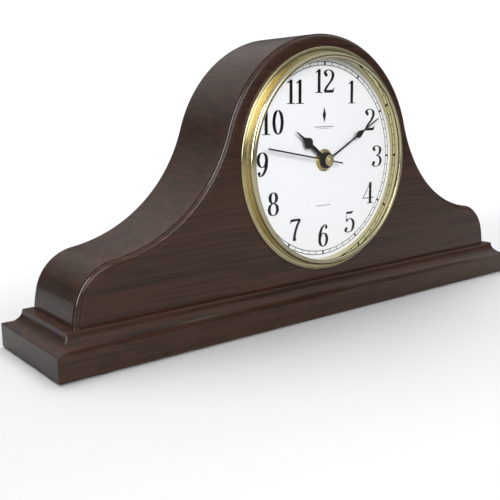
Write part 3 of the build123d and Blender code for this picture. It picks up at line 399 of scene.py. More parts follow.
def brass_finish(name, tint, tarnish, low, high, ring_height):
    """Turned brass: rings of gloss about the dial axis, faint tarnish and handling marks."""
    material, tree, shader, place = start_finish(name, Metallic=1.0)
    centred = add_node(tree, "ShaderNodeMapping", {"Vector": place, "Location": (0, 0, -DIAL_Z)})
    split = add_node(tree, "ShaderNodeSeparateXYZ", {0: centred.outputs[0]}).outputs
    reach = [arithmetic(tree, "ABSOLUTE", split[i]) for i in (0, 2)]
    square = [arithmetic(tree, "POWER", value, 2.0) for value in reach]
    distance = arithmetic(tree, "SQRT", plus(tree, *square))
    lathe = add_node(tree, "ShaderNodeCombineXYZ", {"X": distance, "Y": split[1]}).outputs[0]
    rings = noise(tree, lathe, 5200.0, 2.0, 0.6)
    used = place_group(tree, marks, {"Place": place, "Size": 60.0, "Low": low, "High": high})
    uneven = times(tree, minus(tree, rings, 0.5), 0.04)
    tree.links.new(plus(tree, used["Roughness"], uneven), shader.inputs["Roughness"])
    blotch = steps_between(tree, noise(tree, place, 95.0, 4.0, 0.6), 0.48, 0.78)
    edges = place_group(
        tree,
        rub,
        {
            "Place": place,
            "Color": colour_mix(tree, times(tree, blotch, 0.35), tint, tarnish),
            "Rubbed": colour(244, 236, 206),
            "Amount": 0.3,
        },
    )
    tree.links.new(edges["Color"], shader.inputs["Base Color"])
    add_bump(tree, shader, rings, ring_height, 0.6)
    return material


bezel_brass = brass_finish(
    "turned_brass", colour(234, 224, 186), colour(214, 200, 156), 0.16, 0.22, 0.0000005
)
mirror_brass = brass_finish(
    "mirror_brass", colour(198, 189, 144), colour(180, 169, 122), 0.04, 0.08, 0.0
)
fixing_brass = brass_finish(
    "small_brass", colour(240, 222, 168), colour(210, 186, 128), 0.24, 0.34, 0.000002
)
print("made", [m.name for m in (bezel_brass, mirror_brass, fixing_brass)])

# %% [markdown]
# The dial is a thin metal plate sprayed white, with a slightly eggshell surface. The printing on
# it is matt black ink, and the hands are stamped steel with a satin black finish. None of them
# is perfectly even: paint has an orange-peel ripple and ink has a soft fleck.

# %% Finish: painted plates and ink
def painted_finish(name, base, fleck, share, size, bump, low, high, **values):
    """Paint, ink or moulded plastic with a fleck of a second colour, fine grain and use."""
    material, tree, shader, place = start_finish(name, **values)
    texture = place_group(tree, grain, {"Place": place, "Size": size, "Coarse Share": 0.4})
    toned = times(tree, texture["Fleck"], share)
    used = place_group(tree, marks, {"Place": place, "Size": 45.0, "Low": low, "High": high})
    edges = place_group(
        tree,
        rub,
        {
            "Place": place,
            "Color": colour_mix(tree, toned, base, fleck),
            "Rubbed": fleck,
            "Amount": 0.5,
        },
    )
    tree.links.new(edges["Color"], shader.inputs["Base Color"])
    tree.links.new(used["Roughness"], shader.inputs["Roughness"])
    add_bump(tree, shader, texture["Height"], bump, 0.7)
    return material


dial_white = painted_finish(
    "dial_white", colour(237, 236, 241), colour(230, 229, 235), 0.5, 1500.0, 0.000006, 0.42, 0.52
)
print_ink = painted_finish(
    "print_ink", colour(6, 6, 8), colour(22, 22, 25), 0.5, 4000.0, 0.000004, 0.5, 0.62,
    Specular_IOR_Level=0.15,
)
hand_black = painted_finish(
    "hand_black", colour(15, 15, 17), colour(38, 38, 41), 0.4, 3000.0, 0.000004, 0.3, 0.42
)
print("made", [m.name for m in (dial_white, print_ink, hand_black)])

# %% [markdown]
# A clock glass is flat and clear. What shows of it is its reflection, which grows towards a
# slanting view, as the Fresnel node works out, and a trace of dust in the reflection. A surface
# that is mostly transparent and partly glossy gives that and lets the light reach the dial. Only
# the faces seen from outside reflect, because light that is already in a flat glass gets out.

# %% Finish: clock glass
def glass_finish(name):
    """Clear glass: transparent, with a reflection that follows the Fresnel law."""
    material, tree, shader, place = start_finish(
        name,
        Base_Color=(1.0, 1.0, 1.0, 1.0),
        Metallic=1.0,
        Roughness=0.02,
    )
    dust = place_group(tree, marks, {"Place": place, "Size": 30.0, "Low": 0.015, "High": 0.06})
    tree.links.new(dust["Roughness"], shader.inputs["Roughness"])
    clear = add_node(tree, "ShaderNodeBsdfTransparent", {"Color": (0.985, 0.99, 0.985, 1.0)})
    fresnel = add_node(tree, "ShaderNodeFresnel", {"IOR": 1.45}).outputs[0]
    inside = add_node(tree, "ShaderNodeNewGeometry").outputs["Backfacing"]
    share = times(tree, fresnel, minus(tree, 1.0, inside))
    both = add_node(
        tree,
        "ShaderNodeMixShader",
        {0: share, 1: clear.outputs[0], 2: shader.outputs[0]},
    )
    tree.links.new(both.outputs[0], tree.nodes["Material Output"].inputs["Surface"])
    return material


clock_glass = glass_finish("clock_glass")
print("made", clock_glass.name)

# %% [markdown]
# The pieces are surfaces worked out with numpy. Most of them are rings of points: a row of
# closed rings is joined into a skin, and its two ends are either joined to each other or capped.
# A shape can be several skins in one mesh. Each skin is turned so that its faces look outwards,
# which is known from the sign of its volume.

# %% Helpers for meshes
def skin(rings, loop=False, caps=True):
    """Join rings of points, an array of (rings, points, 3), into faces.

    Point j of ring i meets point j of ring i + 1 and their neighbours j + 1, and the last point
    of a ring meets the first. With loop the last ring also meets the first ring. Otherwise a
    face closes each end, if caps is true.
    """
    count, size = rings.shape[:2]
    i = np.arange(count if loop else count - 1)[:, None]
    j = np.arange(size)[None, :]
    following, beside = (i + 1) % count, (j + 1) % size
    quads = np.stack(
        [i * size + j, i * size + beside, following * size + beside, following * size + j], -1
    ).reshape(-1, 4)
    faces = [quads]
    if caps and not loop:
        faces.append(np.arange(size)[None, ::-1])
        faces.append((count - 1) * size + np.arange(size)[None, :])
    return rings.reshape(-1, 3), faces


def volume(points, faces):
    """Six times the signed volume: each face is a fan of triangles seen from the origin."""
    total = 0.0
    for block in faces:
        first = points[block[:, :1]]
        fan = np.cross(points[block[:, 1:-1]], points[block[:, 2:]])
        total += float(np.sum(first * fan))
    return total


def outward(points, faces):
    """Turn every face round where the volume comes out negative."""
    if volume(points, faces) < 0:
        faces = [block[:, ::-1] for block in faces]
    return points, faces


SHARP_ABOVE = 38.0  # degrees


def build_piece(name, skins, finish, body, arris=None, merge=False):
    """Make an object of one or more skins, in metres, that rides on a body.

    Edges that bend by more than SHARP_ABOVE stay sharp. Flat faces keep their shading
    flat through a Weighted Normal modifier. Points that coincide are merged at poles.
    """
    skins = [outward(points, faces) for points, faces in skins]
    starts = np.cumsum([0] + [len(points) for points, _ in skins])
    points = np.concatenate([points for points, _ in skins])
    faces = [row for (_, blocks), start in zip(skins, starts) for b in blocks for row in b + start]
    mesh = bpy.data.meshes.new(name)
    mesh.from_pydata(points, [], faces)
    if arris is not None:
        layer = mesh.attributes.new("arris", "FLOAT", "POINT")
        layer.data.foreach_set("value", np.asarray(arris, float).ravel())
    if merge:
        welded = bmesh.new()
        welded.from_mesh(mesh)
        bmesh.ops.remove_doubles(welded, verts=welded.verts, dist=0.000002)
        bmesh.ops.recalc_face_normals(welded, faces=welded.faces)
        welded.to_mesh(mesh)
        welded.free()
    mesh.polygons.foreach_set("use_smooth", np.ones(len(mesh.polygons), bool))
    mesh.set_sharp_from_angle(angle=radians(SHARP_ABOVE))
    mesh.materials.append(finish)
    piece = bpy.data.objects.new(name, mesh)
    bpy.context.scene.collection.objects.link(piece)
    piece.modifiers.new("flat_faces", "WEIGHTED_NORMAL").keep_sharp = True
    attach(piece, body)
    print(f"{name}: {len(mesh.vertices)} points, {len(mesh.polygons)} faces")
    return piece


def soften(corners, radius, steps=3):
    """Round every corner of an open polyline by the same small radius.

    The arc at a corner is the quadratic curve from a point before it to a point after it, each
    at the radius from the corner or at 0.4 of the side where that is shorter. Returns the
    points and, for each, 1 on an arc and 0 elsewhere.
    """
    corners = np.asarray(corners, float)
    before, here, after = corners[:-2], corners[1:-1], corners[2:]
    share = np.linspace(0.0, 1.0, steps + 1)[None, :, None]

    def towards(other):
        gap = np.linalg.norm(other - here, axis=1, keepdims=True)
        return here + (other - here) * np.minimum(radius / gap, 0.4)

    start, end = towards(before)[:, None], towards(after)[:, None]
    arcs = (1 - share) ** 2 * start + 2 * share * (1 - share) * here[:, None] + share**2 * end
    points = np.concatenate([corners[:1], arcs.reshape(-1, corners.shape[1]), corners[-1:]])
    on_arc = np.ones(len(points))
    on_arc[[0, -1]] = 0.0
    return points, on_arc


def arc_points(centre, radius, start, end, steps):
    """Points on an arc in a plane, from one angle in degrees to another."""
    angle = np.radians(np.linspace(start, end, steps + 1))
    return np.stack([centre[0] + radius * np.cos(angle), centre[1] + radius * np.sin(angle)], -1)


print("mesh helpers are ready")

# %% [markdown]
# The body's outline is a hump that passes into hollow flanks, small round shoulders and nearly
# straight sides. Each part is an arc that leaves the one before it smoothly. Drawn in by an
# inset, the same arcs keep their centres, which is how a moulding follows a curved edge.

# %% Outline of the body
front_low, front_high = (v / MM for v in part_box("front_panel"))
band_low, band_high = (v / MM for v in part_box("case_band"))
rear_low, rear_high = (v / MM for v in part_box("rear_panel"))
HUMP_RADIUS = 83.6
SHOULDER_HEIGHT = 57.1
SHOULDER_RADIUS = 28.1
SHOULDER_START = radians(7.9)  # slope at the top of the shoulder
SIDE_RADIUS = 75.1
SIDE_START = radians(75.75)
FOOT_Z = front_low.z
HALF_WIDTH = front_high.x
HUMP_Z = front_high.z - HUMP_RADIUS
ARC_STEPS = (64, 56, 36, 12)  # points on the hump, the flank, the shoulder and the side
FOOT_STEPS = 48


def outline_arcs(inset):
    """Centre, radius and first and last heading of the right half's four arcs.

    A heading is the angle from straight up, seen from the arc's centre. The flank's radius
    follows from the width, the height and the other radii.
    """
    b, c = SHOULDER_START, SIDE_START
    side_z = SHOULDER_HEIGHT - SHOULDER_RADIUS * (cos(b) - cos(c)) - SIDE_RADIUS * cos(c)
    foot = pi / 2 - asin((FOOT_Z - side_z) / SIDE_RADIUS)
    reach = HALF_WIDTH - SHOULDER_RADIUS * (sin(c) - sin(b)) - SIDE_RADIUS * (sin(foot) - sin(c))
    below = SHOULDER_HEIGHT - HUMP_Z
    flank = (reach**2 + below**2 - HUMP_RADIUS**2) / (
        2 * (HUMP_RADIUS - reach * sin(b) - below * cos(b))
    )
    a = atan2(reach + flank * sin(b), below + flank * cos(b))
    hollow = np.array([0, HUMP_Z]) + (HUMP_RADIUS + flank) * np.array([sin(a), cos(a)])
    shoulder = hollow - (flank + SHOULDER_RADIUS) * np.array([sin(b), cos(b)])
    side = np.array([shoulder[0] - (SIDE_RADIUS - SHOULDER_RADIUS) * sin(c), side_z])
    foot_inset = pi / 2 - asin((FOOT_Z - side_z) / (SIDE_RADIUS - inset))
    return [
        (np.array([0, HUMP_Z]), HUMP_RADIUS - inset, 0.0, a),
        (hollow, -(flank + inset), a, b),
        (shoulder, SHOULDER_RADIUS - inset, b, c),
        (side, SIDE_RADIUS - inset, c, foot_inset),
    ]


def arch(inset):
    """Points in (x, z) from the left foot over the hump to the right foot."""
    half = []
    for (centre, radius, start, end), steps in zip(outline_arcs(inset), ARC_STEPS):
        heading = np.linspace(start, end, steps + 1)[:-1]
        half.append(centre + radius * np.stack([np.sin(heading), np.cos(heading)], -1))
    centre, radius, _, end = outline_arcs(inset)[-1]
    half.append((centre + radius * np.array([sin(end), cos(end)]))[None])
    right = np.concatenate(half)
    left = right[:0:-1] * (-1, 1)
    return np.concatenate([left, right])


def board_ring(inset):
    """The arch closed along its straight foot, as one ring of points in (x, z)."""
    top = arch(inset)
    foot = np.linspace(top[-1], top[0], FOOT_STEPS + 1)[1:-1]
    return np.concatenate([top, foot])


def opening_ring(radius):
    """Round opening about the dial axis with a point for each point of the board's ring.

    On the hump the two rings share their headings. From there to the end of the flank the
    heading runs on to FLANK_HEADING, round the shoulder and the side to FOOT_HEADING, and
    along the foot to straight down. So no line between the two rings leaves the board.
    """
    hump, flank, shoulder, side = ARC_STEPS
    hump_end = outline_arcs(0.0)[0][3]
    right = np.concatenate(
        [
            np.linspace(0.0, hump_end, hump + 1)[:-1],
            hump_end + (FLANK_HEADING - hump_end) * np.linspace(0, 1, flank + 1)[:-1] ** 0.8,
            np.linspace(FLANK_HEADING, FOOT_HEADING, shoulder + side + 1),
        ]
    )
    foot = np.linspace(FOOT_HEADING, 2 * pi - FOOT_HEADING, FOOT_STEPS + 1)[1:-1]
    heading = np.concatenate([-right[:0:-1], right, foot])
    return np.stack([radius * np.sin(heading), DIAL_Z / MM + radius * np.cos(heading)], -1)


FLANK_HEADING = radians(122.0)
FOOT_HEADING = radians(135.0)
print("points round the board:", len(board_ring(0.0)), "and its opening:", len(opening_ring(1.0)))

# %% [markdown]
# The edge of the front board is a slender quarter-round bead between two small steps, which
# joiners call quirks. The surface is one ring carried through a section: out along the face,
# over the bead, back along the edge, and home through the dial's opening. Sharp wood never stays
# sharp under lacquer, so the corners of the section get a very small radius.

# %% Front board
FACE_Y, PANEL_BACK_Y = front_low.y, front_high.y
BEAD_RADIUS, QUIRK = 2.5, 0.6
ARRIS = 0.07  # lacquered corner
BEAD_STEPS = 14
EDGE_MARGIN = 3  # from an edge to the next ring on a face
DIAL_PLAY, LEDGE_WIDTH = 0.2, 7.3
dial_low, dial_high = (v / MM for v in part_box("dial_plate"))
OPENING_RADIUS = dial_high.x + DIAL_PLAY
LEDGE_RADIUS = OPENING_RADIUS - LEDGE_WIDTH


def carried(rings_xz, depths):
    """Rings in (x, z) set at their depths in y, in metres."""
    depth = np.broadcast_to(np.asarray(depths, float)[:, None, None], (*rings_xz.shape[:2], 1))
    return np.concatenate([rings_xz[..., :1], depth, rings_xz[..., 1:]], -1) * MM


bead_edge = FACE_Y + QUIRK + BEAD_RADIUS
bead = arc_points((QUIRK + BEAD_RADIUS, bead_edge), BEAD_RADIUS, 270, 180, BEAD_STEPS)
face_step, face_rub = soften(
    [(QUIRK + BEAD_RADIUS + EDGE_MARGIN, FACE_Y), (QUIRK + BEAD_RADIUS, FACE_Y), bead[0]], ARRIS
)
side_step, side_rub = soften([bead[-1], (0, bead_edge), (0, PANEL_BACK_Y)], ARRIS)
section = np.concatenate([face_step[:-1], bead, side_step[1:], [(EDGE_MARGIN, PANEL_BACK_Y)]])
section_rub = np.concatenate([face_rub[:-1], np.full(len(bead), 0.25), side_rub[1:], [0.0]])
edge_rings = np.stack([board_ring(inset) for inset, _ in section])
hole_depths = [PANEL_BACK_Y, dial_high.y, dial_high.y, FACE_Y]
hole_rings = np.stack(
    [opening_ring(r) for r in (LEDGE_RADIUS, LEDGE_RADIUS, OPENING_RADIUS, OPENING_RADIUS)]
)
front_rings = carried(
    np.concatenate([edge_rings, hole_rings]), np.concatenate([section[:, 1], hole_depths])
)
front_rub = np.repeat(np.concatenate([section_rub, np.zeros(4)]), front_rings.shape[1])
front_board = build_piece(
    "front_board", [skin(front_rings, loop=True)], case_wood, "clock_case", front_rub
)
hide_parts("front_panel")

# %% [markdown]
# The band is thin wood bent over the hump from foot to foot. Its section is a plain rectangle,
# carried along the arch. Its outside is flush with the two boards.

# %% Bent band
BAND_THICKNESS = 6.0
band_depths = (band_low.y, band_high.y)
inner_arch, outer_arch = arch(BAND_THICKNESS), arch(0.0)
corners = [
    np.insert(line, 1, y, axis=1) * MM
    for line, y in (
        (outer_arch, band_depths[0]),
        (outer_arch, band_depths[1]),
        (inner_arch, band_depths[1]),
        (inner_arch, band_depths[0]),
    )
]
bent_band = build_piece("bent_band", [skin(np.stack(corners, 1))], case_wood, "clock_case")
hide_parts("case_band")

# %% [markdown]
# The rear board closes the case. Its outer edge is rounded over by 2 mm, and a round opening
# with a small chamfer lets a hand reach the battery and the setting knob.

# %% Rear board
REAR_ROUNDING = 2.0
ACCESS_RADIUS, ACCESS_CHAMFER = 52.0, 1.0
REAR_FRONT_Y, REAR_BACK_Y = rear_low.y, rear_high.y
rounding = arc_points((REAR_ROUNDING, REAR_BACK_Y - REAR_ROUNDING), REAR_ROUNDING, 180, 90, 12)
rear_section = np.concatenate([[(EDGE_MARGIN, REAR_FRONT_Y), (0, REAR_FRONT_Y)], rounding])
rear_rings = np.stack([board_ring(inset) for inset, _ in rear_section])
access_rings = np.stack(
    [opening_ring(r) for r in (ACCESS_RADIUS + ACCESS_CHAMFER, ACCESS_RADIUS, ACCESS_RADIUS)]
)
access_depths = [REAR_BACK_Y, REAR_BACK_Y - ACCESS_CHAMFER, REAR_FRONT_Y]
rear_board = build_piece(
    "rear_board",
    [
        skin(
            carried(
                np.concatenate([rear_rings, access_rings]),
                np.concatenate([rear_section[:, 1], access_depths]),
            ),
            loop=True,
        )
    ],
    case_wood,
    "clock_case",
)
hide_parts("rear_panel")

# %% [markdown]
# The base is a slab with a hollow cove worked round its top. Its ring is a rectangle with
# slightly rounded corners, drawn in by the inset of the section, so the cove meets itself in a
# clean mitre.

# %% Base
base_low, base_high = (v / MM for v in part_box("base_plinth"))
screw_low, screw_high = (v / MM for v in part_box("base_screws"))
COVE_INSET, SLAB_TOP = 9.6, 14.8
SLAB_ARRIS, LEDGE_ARRIS = 0.45, 0.35
COVE_TOP, UNDERSIDE = base_high.z, base_low.z
CORNER_RADIUS, CORNER_STEPS, SIDE_STEPS = 0.9, 4, 24


def base_ring(inset):
    """Rectangle drawn in by the inset, with rounded corners, as points in (x, y).

    Each corner is a quarter circle, and the side after it is divided evenly, so that rings of
    every inset have the same number of points.
    """
    radius = min(CORNER_RADIUS, max(base_high.y - inset, 0.0))
    half = np.array([base_high.x, base_high.y]) - inset - radius
    quarter = np.radians(np.linspace(0, 90, CORNER_STEPS + 1))
    rounds = [
        np.stack([np.cos(quarter + turn), np.sin(quarter + turn)], -1) * radius + half * sign
        for turn, sign in zip((0, pi / 2, pi, 3 * pi / 2), ((1, 1), (-1, 1), (-1, -1), (1, -1)))
    ]
    ring = []
    for here, after in zip(rounds, rounds[1:] + rounds[:1]):
        ring += [here, np.linspace(here[-1], after[0], SIDE_STEPS + 1)[1:-1]]
    return np.concatenate(ring)


cove_drop = COVE_TOP - SLAB_TOP
cove_angle = np.linspace(0, pi / 2, 15)
cove_hollow = np.stack(
    [COVE_INSET * np.sin(cove_angle), SLAB_TOP + cove_drop * (1 - np.cos(cove_angle))], -1
)
base_half_depth = base_high.y
slab_side, slab_rub = soften(
    [(base_half_depth, UNDERSIDE), (0, UNDERSIDE), (0, SLAB_TOP), cove_hollow[1]], SLAB_ARRIS
)
ledge, ledge_rub = soften(
    [cove_hollow[-2], (COVE_INSET, COVE_TOP), (base_half_depth, COVE_TOP)], LEDGE_ARRIS
)
base_section = np.concatenate([slab_side[:-1], cove_hollow[1:-1], ledge[1:]])
base_rub = np.concatenate([slab_rub[:-1], np.zeros(len(cove_hollow) - 2), ledge_rub[1:]])
base_rings = np.stack([np.insert(base_ring(inset), 2, z, axis=1) for inset, z in base_section]) * MM
plinth = build_piece(
    "moulded_base",
    [skin(base_rings, caps=False)],
    case_wood,
    "clock_case",
    np.repeat(base_rub, base_rings.shape[1]),
    merge=True,
)
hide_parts("base_plinth")

# %% [markdown]
# The screws that hold the case come up through the base. Their stepped holes are bored with a
# Boolean, which takes the shape of one mesh out of another. The result is then kept as the
# base's own mesh and the drill is thrown away.

# %% Screw holes
HEAD_RADIUS, HOLE_PLAY = 4.0, 0.2
SHANK_RADIUS, HEAD_SEAT = 2.0, 4.8
HOLE_TURNS = 32
hole_profile = [
    (HEAD_RADIUS, UNDERSIDE - 1),
    (HEAD_RADIUS, HEAD_SEAT),
    (SHANK_RADIUS, HEAD_SEAT),
    (SHANK_RADIUS, COVE_TOP + 1),
]
around = np.linspace(0, 2 * pi, HOLE_TURNS, endpoint=False)
drills = []
for x in (screw_low.x + HEAD_RADIUS, screw_high.x - HEAD_RADIUS):
    for y in (screw_low.y + HEAD_RADIUS, screw_high.y - HEAD_RADIUS):
        rings = [
            np.stack(
                [
                    x + (radius + HOLE_PLAY) * np.cos(around),
                    y + (radius + HOLE_PLAY) * np.sin(around),
                    np.full(HOLE_TURNS, z),
                ],
                -1,
            )
            for radius, z in hole_profile
        ]
        drills.append(skin(np.stack(rings) * MM))
drill = build_piece("screw_drill", drills, case_wood, "clock_case")
boring = plinth.modifiers.new("screw_holes", "BOOLEAN")
boring.object, boring.operation, boring.solver = drill, "DIFFERENCE", "EXACT"
plinth.modifiers.move(1, 0)
bored = bpy.data.meshes.new_from_object(plinth.evaluated_get(bpy.context.evaluated_depsgraph_get()))
plinth.modifiers.clear()
plinth.data = bored
bpy.data.objects.remove(drill)
print("base after boring:", len(bored.vertices), "points")

# %% [markdown]
# The bezel is a turned ring, so it is a section carried round the dial axis: a low outer bead,
# a groove, a hollow wall and a wide rounded lip that holds the glass. The bright inner wall
# stands behind the glass and mirrors the minute track.

# %% Helper: turn a section about the dial axis
ROUND_STEPS = 240


def turned(section, steps=ROUND_STEPS):
    """Rings of a lathe section of (radius, y) in mm, one ring for each point of the section.

    A point at radius r and turn t stands at x = r sin t, z = r cos t above the dial axis.
    """
    section = np.asarray(section, float)
    turn = np.linspace(0, 2 * pi, steps, endpoint=False)
    x = section[:, :1] * np.sin(turn)
    z = section[:, :1] * np.cos(turn) + DIAL_Z / MM
    y = np.broadcast_to(section[:, 1:], x.shape)
    return np.stack([x, y, z], -1) * MM


# %% Bezel, inner wall and glass
glass_low, glass_high = (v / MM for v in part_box("glass_lens"))
wall_low, wall_high = (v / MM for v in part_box("reflector_ring"))
BEZEL_RADIUS, BEZEL_FRONT = bezel_high.x / MM, bezel_low.y / MM
GLASS_COVER, GLASS_PLAY, SPIGOT_PLAY = 1.3, 0.05, 0.1
LIP_RADIUS, LIP_WIDTH = glass_high.x - GLASS_COVER, 3.4
LIP_OUTER_ROUND, LIP_INNER_ROUND = 2.3, 0.9
OUTER_BEAD, BEAD_FRONT_Y, GROOVE_DEPTH, GROOVE_WIDTH = 0.75, FACE_Y - 1.8, 0.6, 1.5
HOLLOW = 0.25  # how far the wall behind the lip is hollowed
spigot_radius, ring_bore = OPENING_RADIUS - SPIGOT_PLAY, glass_high.x + GLASS_PLAY
lip_outer = LIP_RADIUS + LIP_WIDTH
wall_foot = (BEZEL_RADIUS - 2 * OUTER_BEAD - GROOVE_WIDTH, BEAD_FRONT_Y + GROOVE_DEPTH)
wall_top = (lip_outer, BEZEL_FRONT + LIP_OUTER_ROUND)
share = np.linspace(0, 1, 9)[:, None]
hollow_wall = np.array(wall_foot) * (1 - share) + np.array(wall_top) * share
hollow_wall[:, :1] -= HOLLOW * 4 * share * (1 - share)
outer_centre = (lip_outer - LIP_OUTER_ROUND, BEZEL_FRONT + LIP_OUTER_ROUND)
inner_centre = (LIP_RADIUS + LIP_INNER_ROUND, BEZEL_FRONT + LIP_INNER_ROUND)
bezel_section = np.concatenate(
    [
        [(ring_bore, dial_low.y), (spigot_radius, dial_low.y), (spigot_radius, FACE_Y)],
        [(BEZEL_RADIUS, FACE_Y)],
        arc_points((BEZEL_RADIUS - OUTER_BEAD, BEAD_FRONT_Y + OUTER_BEAD), OUTER_BEAD, 0, -180, 16),
        hollow_wall,
        arc_points(outer_centre, LIP_OUTER_ROUND, 0, -90, 12)[1:],
        arc_points(inner_centre, LIP_INNER_ROUND, -90, -180, 6),
        [(LIP_RADIUS, glass_low.y), (ring_bore, glass_low.y)],
    ]
)
bezel_rub = np.clip(1 - np.abs(bezel_section[:, 1] - BEZEL_FRONT) / 0.4, 0, 1)
bezel = build_piece(
    "brass_bezel",
    [skin(turned(bezel_section), loop=True)],
    bezel_brass,
    "clock_case",
    np.repeat(bezel_rub, ROUND_STEPS),
)
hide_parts("bezel_ring")

wall_section = [
    (LIP_RADIUS, wall_low.y),
    (wall_high.x, wall_low.y),
    (wall_high.x, wall_high.y),
    (LIP_RADIUS + 0.5, wall_high.y),
]
inner_wall = build_piece(
    "bright_inner_wall", [skin(turned(wall_section), loop=True)], mirror_brass, "clock_case"
)
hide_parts("reflector_ring")

glass_section, _ = soften(
    [
        (0, glass_low.y), (glass_high.x, glass_low.y),
        (glass_high.x, glass_high.y), (0, glass_high.y),
    ],
    0.25,
)
glass = build_piece(
    "flat_glass", [skin(turned(glass_section), caps=False)], clock_glass, "clock_case", merge=True
)
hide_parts("glass_lens")

# %% [markdown]
# The dial plate is a flat disc with a hole for the bush. The minute track and the numerals are
# screen printed, which leaves a film of ink a few hundredths of a millimetre thick, so the
# printing is its own thin mesh on top of the plate.

# %% Dial plate and minute track
BUSH_RADIUS = 4.05
INK = 0.035  # thickness of the printed film, mm
dial_section, _ = soften(
    [
        (BUSH_RADIUS, dial_high.y),
        (BUSH_RADIUS, dial_low.y),
        (dial_high.x, dial_low.y),
        (dial_high.x, dial_high.y),
    ],
    0.1,
)
dial = build_piece("white_dial", [skin(turned(dial_section), loop=True)], dial_white, "clock_case")
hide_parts("dial_plate")

TRACK_INNER, TRACK_OUTER = 61.2, 63.5
LINE_HALF = 0.23  # half width of the two circles
BOLD_HALF, THIN_HALF = 0.7, 0.2  # of the marks at five minutes and between
INK_FRONT, INK_BACK = dial_low.y - INK, dial_low.y


def printed(flat_rings, loop):
    """A strip of ink from rings of two points in (x, z) about the dial's centre.

    Each ring becomes four points: the two edges on the front of the film and the same two on
    its back.
    """
    lifted = flat_rings + np.array([0.0, DIAL_Z / MM])
    front = np.insert(lifted, 1, INK_FRONT, axis=2)
    back = np.insert(lifted[:, ::-1], 1, INK_BACK, axis=2)
    return skin(np.concatenate([front, back], 1) * MM, loop=loop)


def printed_circle(radius, half):
    """Ring of ink: at each turn its two edges lie at the radius plus and minus half."""
    turn = np.linspace(0, 2 * pi, 180, endpoint=False)
    spoke = np.stack([np.sin(turn), np.cos(turn)], -1)
    return printed(np.stack([spoke * (radius - half), spoke * (radius + half)], 1), True)


def printed_tick(minute, half):
    """Straight mark across the track at a minute, turned clockwise from twelve."""
    turn = minute * 2 * pi / 60
    spoke, aside = np.array([sin(turn), cos(turn)]), np.array([cos(turn), -sin(turn)])
    ends = np.array([TRACK_INNER, TRACK_OUTER])[:, None, None] * spoke
    return printed(ends + np.array([[-half], [half]]) * aside, False)


track_skins = [printed_circle(TRACK_INNER, LINE_HALF), printed_circle(TRACK_OUTER, LINE_HALF)]
track_skins += [printed_tick(m, THIN_HALF if m % 5 else BOLD_HALF) for m in range(60)]
build_piece("minute_track", track_skins, print_ink, "clock_case")

# %% [markdown]
# The numerals are in the style called modern face: heavy upright strokes, hairlines where a
# stroke runs level, flat serifs and ball ends. That contrast is a rule, so each numeral is only
# a centre line through a few points. The width follows from the direction: it is a hairline
# where the line is level and grows to full weight where the line is upright.

# %% Numerals: strokes and balls
HAIR, STEM = 0.27, 1.1  # half widths, mm
SPAN_STEPS = 12


def smooth_line(points, closed=False):
    """Curve through points whose direction at each is that from its neighbour before to after.

    Each span is the cubic of the Catmull-Rom rule, worked out for all spans at once.
    """
    points = np.asarray(points, float)
    if closed:
        a, b, c, d = (np.roll(points, shift, axis=0) for shift in (1, 0, -1, -2))
    else:
        before, after = 2 * points[:1] - points[1:2], 2 * points[-1:] - points[-2:-1]
        ends = np.concatenate([before, points, after])
        a, b, c, d = ends[:-3], ends[1:-2], ends[2:-1], ends[3:]
    t = np.linspace(0, 1, SPAN_STEPS, endpoint=False)[None, :, None]
    a, b, c, d = (v[:, None] for v in (a, b, c, d))
    curve = 0.5 * (
        2 * b + (c - a) * t + (2 * a - 5 * b + 4 * c - d) * t**2 + (3 * b - a - 3 * c + d) * t**3
    )
    curve = curve.reshape(-1, 2)
    return curve if closed else np.concatenate([curve, points[-1:]])


def pen_stroke(points, closed=False, heavy=STEM):
    """Edges of a stroke along a smooth centre line.

    The half width is HAIR + (heavy - HAIR) times the square of the direction's upright part.
    The edges stand that far to each side of the line.
    """
    line = smooth_line(points, closed)
    if closed:
        ahead = np.roll(line, -1, axis=0) - np.roll(line, 1, axis=0)
    else:
        ahead = np.gradient(line, axis=0)
    ahead /= np.linalg.norm(ahead, axis=1, keepdims=True)
    half = HAIR + (heavy - HAIR) * ahead[:, 1:] ** 2
    aside = np.stack([-ahead[:, 1], ahead[:, 0]], -1) * half
    return np.stack([line - aside, line + aside], 1), closed


def bar(start, end, half_start, half_end=None):
    """Straight stroke with its own half width at each end."""
    start, end = np.array(start, float), np.array(end, float)
    ahead = (end - start) / np.linalg.norm(end - start)
    aside = np.array([-ahead[1], ahead[0]])
    widths = (half_start, half_start if half_end is None else half_end)
    return np.stack([[p - aside * w, p + aside * w] for p, w in zip((start, end), widths)]), False


def ball(centre, radius):
    """Round end of a stroke, as a strip of shrinking and growing chords."""
    turn = np.linspace(0.02, pi - 0.02, 14)
    x, rise = centre[0] - radius * np.cos(turn), radius * np.sin(turn)
    return np.stack([np.stack([x, centre[1] + way * rise], -1) for way in (-1, 1)], 1), False


def oval(centre, across, up):
    """Closed bowl: eight points on an ellipse that the smooth line rounds."""
    turn = np.linspace(0, 2 * pi, 8, endpoint=False)
    x, z = centre[0] + across * np.cos(turn), centre[1] + up * np.sin(turn)
    return pen_stroke(np.stack([x, z], -1), True)


def turned_over(strokes):
    """The same numeral turned by half a turn."""
    return [(-edges, closed) for edges, closed in strokes]


